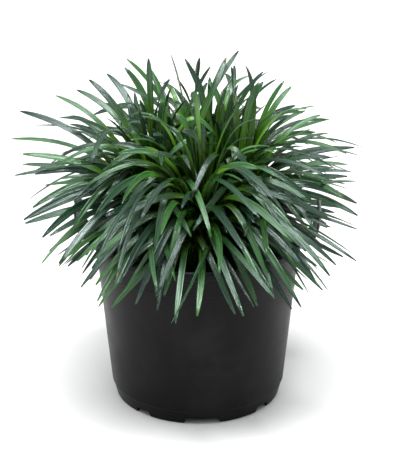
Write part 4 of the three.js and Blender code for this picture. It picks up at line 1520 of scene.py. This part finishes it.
    def build(self) -> None:
        """Grows the leaves and shows one piece for each tuft."""
        habit = self.habit
        more = replace(
            habit, seed=habit.seed + 700, azimuth_jitter=140.0, bend=0.12, arch=0.45, arch_jitter=0.15,
        )
        young = replace(
            habit, seed=habit.seed + 300, root_circle=6.0, azimuth_jitter=180.0, age_power=1.0,
            reach_young=105.0, reach_old=70.0, rise_young=86.0, rise_old=40.0, rise_jitter=14.0,
            arch=0.12, arch_jitter=0.1, bend=0.1, width=(4.0, 5.0),
        )
        under = replace(
            habit, seed=habit.seed + 500, root_circle=17.0, azimuth_jitter=180.0,
            reach_young=88.0, reach_old=70.0, reach_jitter=0.3, rise_young=78.0, rise_old=14.0,
            rise_jitter=24.0, arch=0.42, bend=0.24, width=(3.6, 5.0),
        )
        dead = replace(under, seed=habit.seed + 900, width=(0.9, 1.5), roll=140.0, bend=0.5, reach_old=45.0)
        layers = {
            Layer.MAIN: self.grow(),
            Layer.YOUNG: self.fill(young, self.young_leaves, 0.0),
            Layer.MORE: self.fill(more, self.more_leaves, 0.0),
            Layer.UNDER: self.fill(under, self.under_leaves, self.under_youngest),
            Layer.DEAD: self.fill(dead, self.dead_leaves, self.under_youngest),
        }
        skin = self.finish.material()
        cover = self.space.cover()
        for number, tuft in enumerate(self.tufts):
            own = {layer: grown[number] for layer, grown in layers.items() if grown[number]}
            own = {layer: Leaves.joined(batches) for layer, batches in own.items()}
            LOG.info("%s: %s leaves", tuft.name, {k.value: len(v.width) for k, v in own.items()})
            show(self.mesh(tuft, own, cover, self.tint_seed + number), skin, "leaf", tuft.name)


# Studio


@dataclass
class Studio:
    """Plain pale floor, soft light and a camera at the photograph's place."""

    target_height: float = 124.73
    distance: float = 1117.18
    pitch: float = 21.899
    aside: float = 1.69
    lens: float = 123.55
    sensor: float = 36.0
    clip: tuple[float, float] = (0.05, 50.0)
    floor_radius: float = 6000.0
    floor_sides: int = 96
    sky_tint: Colour = (0.98, 1.0, 1.0)
    horizon: float = 0.32
    zenith: float = 0.95
    suns: tuple[tuple[float, float, float, float], ...] = ((3.0, -12.0, 1.9, 44.0), (6.0, 12.0, 2.0, 16.0))
    panel_side: float = 0.5
    panel_power: float = 9.0
    panel_place: tuple[float, float, float] = (-0.25, -0.35, 1.5)
    panel_turn: tuple[float, float] = (13.0, -9.0)
    finish: PaleFloor = field(default_factory=PaleFloor)

    def floor(self) -> None:
        """Round floor under the pot."""
        turn = np.linspace(0, 2 * math.pi, self.floor_sides, endpoint=False)
        rim = np.stack([np.cos(turn), np.sin(turn), np.zeros_like(turn)], -1) * self.floor_radius
        points = np.concatenate([rim, [[0.0, 0.0, 0.0]]])
        ring = np.arange(self.floor_sides)
        middle = np.full_like(ring, self.floor_sides)
        faces = np.stack([ring, (ring + 1) % self.floor_sides, middle], -1)
        mesh = new_mesh("studio_floor", points, faces)
        mesh.materials.append(self.finish.material())
        ground = bpy.data.objects.new("studio_floor", mesh)
        bpy.context.scene.collection.objects.link(ground)

    def lights(self) -> None:
        """White sky, brighter overhead, two soft suns and a bright panel for the highlights."""
        world = bpy.data.worlds.new("studio_sky")
        world.use_nodes = True
        tree = world.node_tree
        sky = tree.nodes["Background"]
        sky.inputs["Color"].default_value = (*self.sky_tint, 1.0)
        direction = tree.nodes.new("ShaderNodeSeparateXYZ")
        tree.links.new(tree.nodes.new("ShaderNodeTexCoord").outputs["Generated"], direction.inputs[0])
        rise = tree.nodes.new("ShaderNodeMapRange")
        rise.inputs["From Min"].default_value = 0.0
        rise.inputs["To Min"].default_value = self.horizon
        rise.inputs["To Max"].default_value = self.zenith
        tree.links.new(direction.outputs["Z"], rise.inputs["Value"])
        tree.links.new(rise.outputs["Result"], sky.inputs["Strength"])
        bpy.context.scene.world = world
        lamps = []
        for tilt, lean, strength, width in self.suns:
            sun = bpy.data.lights.new("soft_sun", "SUN")
            sun.energy = strength
            sun.angle = math.radians(width)
            lamp = bpy.data.objects.new("soft_sun", sun)
            lamp.rotation_euler = (math.radians(tilt), math.radians(lean), 0)
            lamps.append(lamp)
        panel = bpy.data.lights.new("panel", "AREA")
        panel.shape = "RECTANGLE"
        panel.size = self.panel_side
        panel.size_y = self.panel_side
        panel.energy = self.panel_power
        above = bpy.data.objects.new("panel", panel)
        above.location = self.panel_place
        above.rotation_euler = (*(math.radians(angle) for angle in self.panel_turn), 0)
        for lamp in (*lamps, above):
            bpy.context.scene.collection.objects.link(lamp)

    def camera(self) -> None:
        """Camera that looks along +Y and down at the pot's axis."""
        data = bpy.data.cameras.new("photo_camera")
        data.lens = self.lens
        data.sensor_width = self.sensor
        data.clip_start, data.clip_end = self.clip
        camera = bpy.data.objects.new("photo_camera", data)
        slope = math.radians(self.pitch)
        back = np.array([
            self.aside,
            -self.distance * math.cos(slope),
            self.target_height + self.distance * math.sin(slope),
        ])
        camera.location = (back + pot_axis()) * MM
        camera.rotation_euler = (math.pi / 2 - slope, 0, 0)
        bpy.context.scene.collection.objects.link(camera)
        bpy.context.scene.camera = camera

    def build(self) -> None:
        """Sets up the studio."""
        bpy.context.scene.view_settings.view_transform = "Standard"
        self.floor()
        self.lights()
        self.camera()


def main() -> None:
    """Builds the studio, the pot, the soil and the plant."""
    logging.basicConfig(level=logging.INFO, format="%(message)s")
    Studio().build()
    pot = Pot()
    pot.build()
    Soil(pot).build()
    Plant().build()


if __name__ == "__main__":
    main()
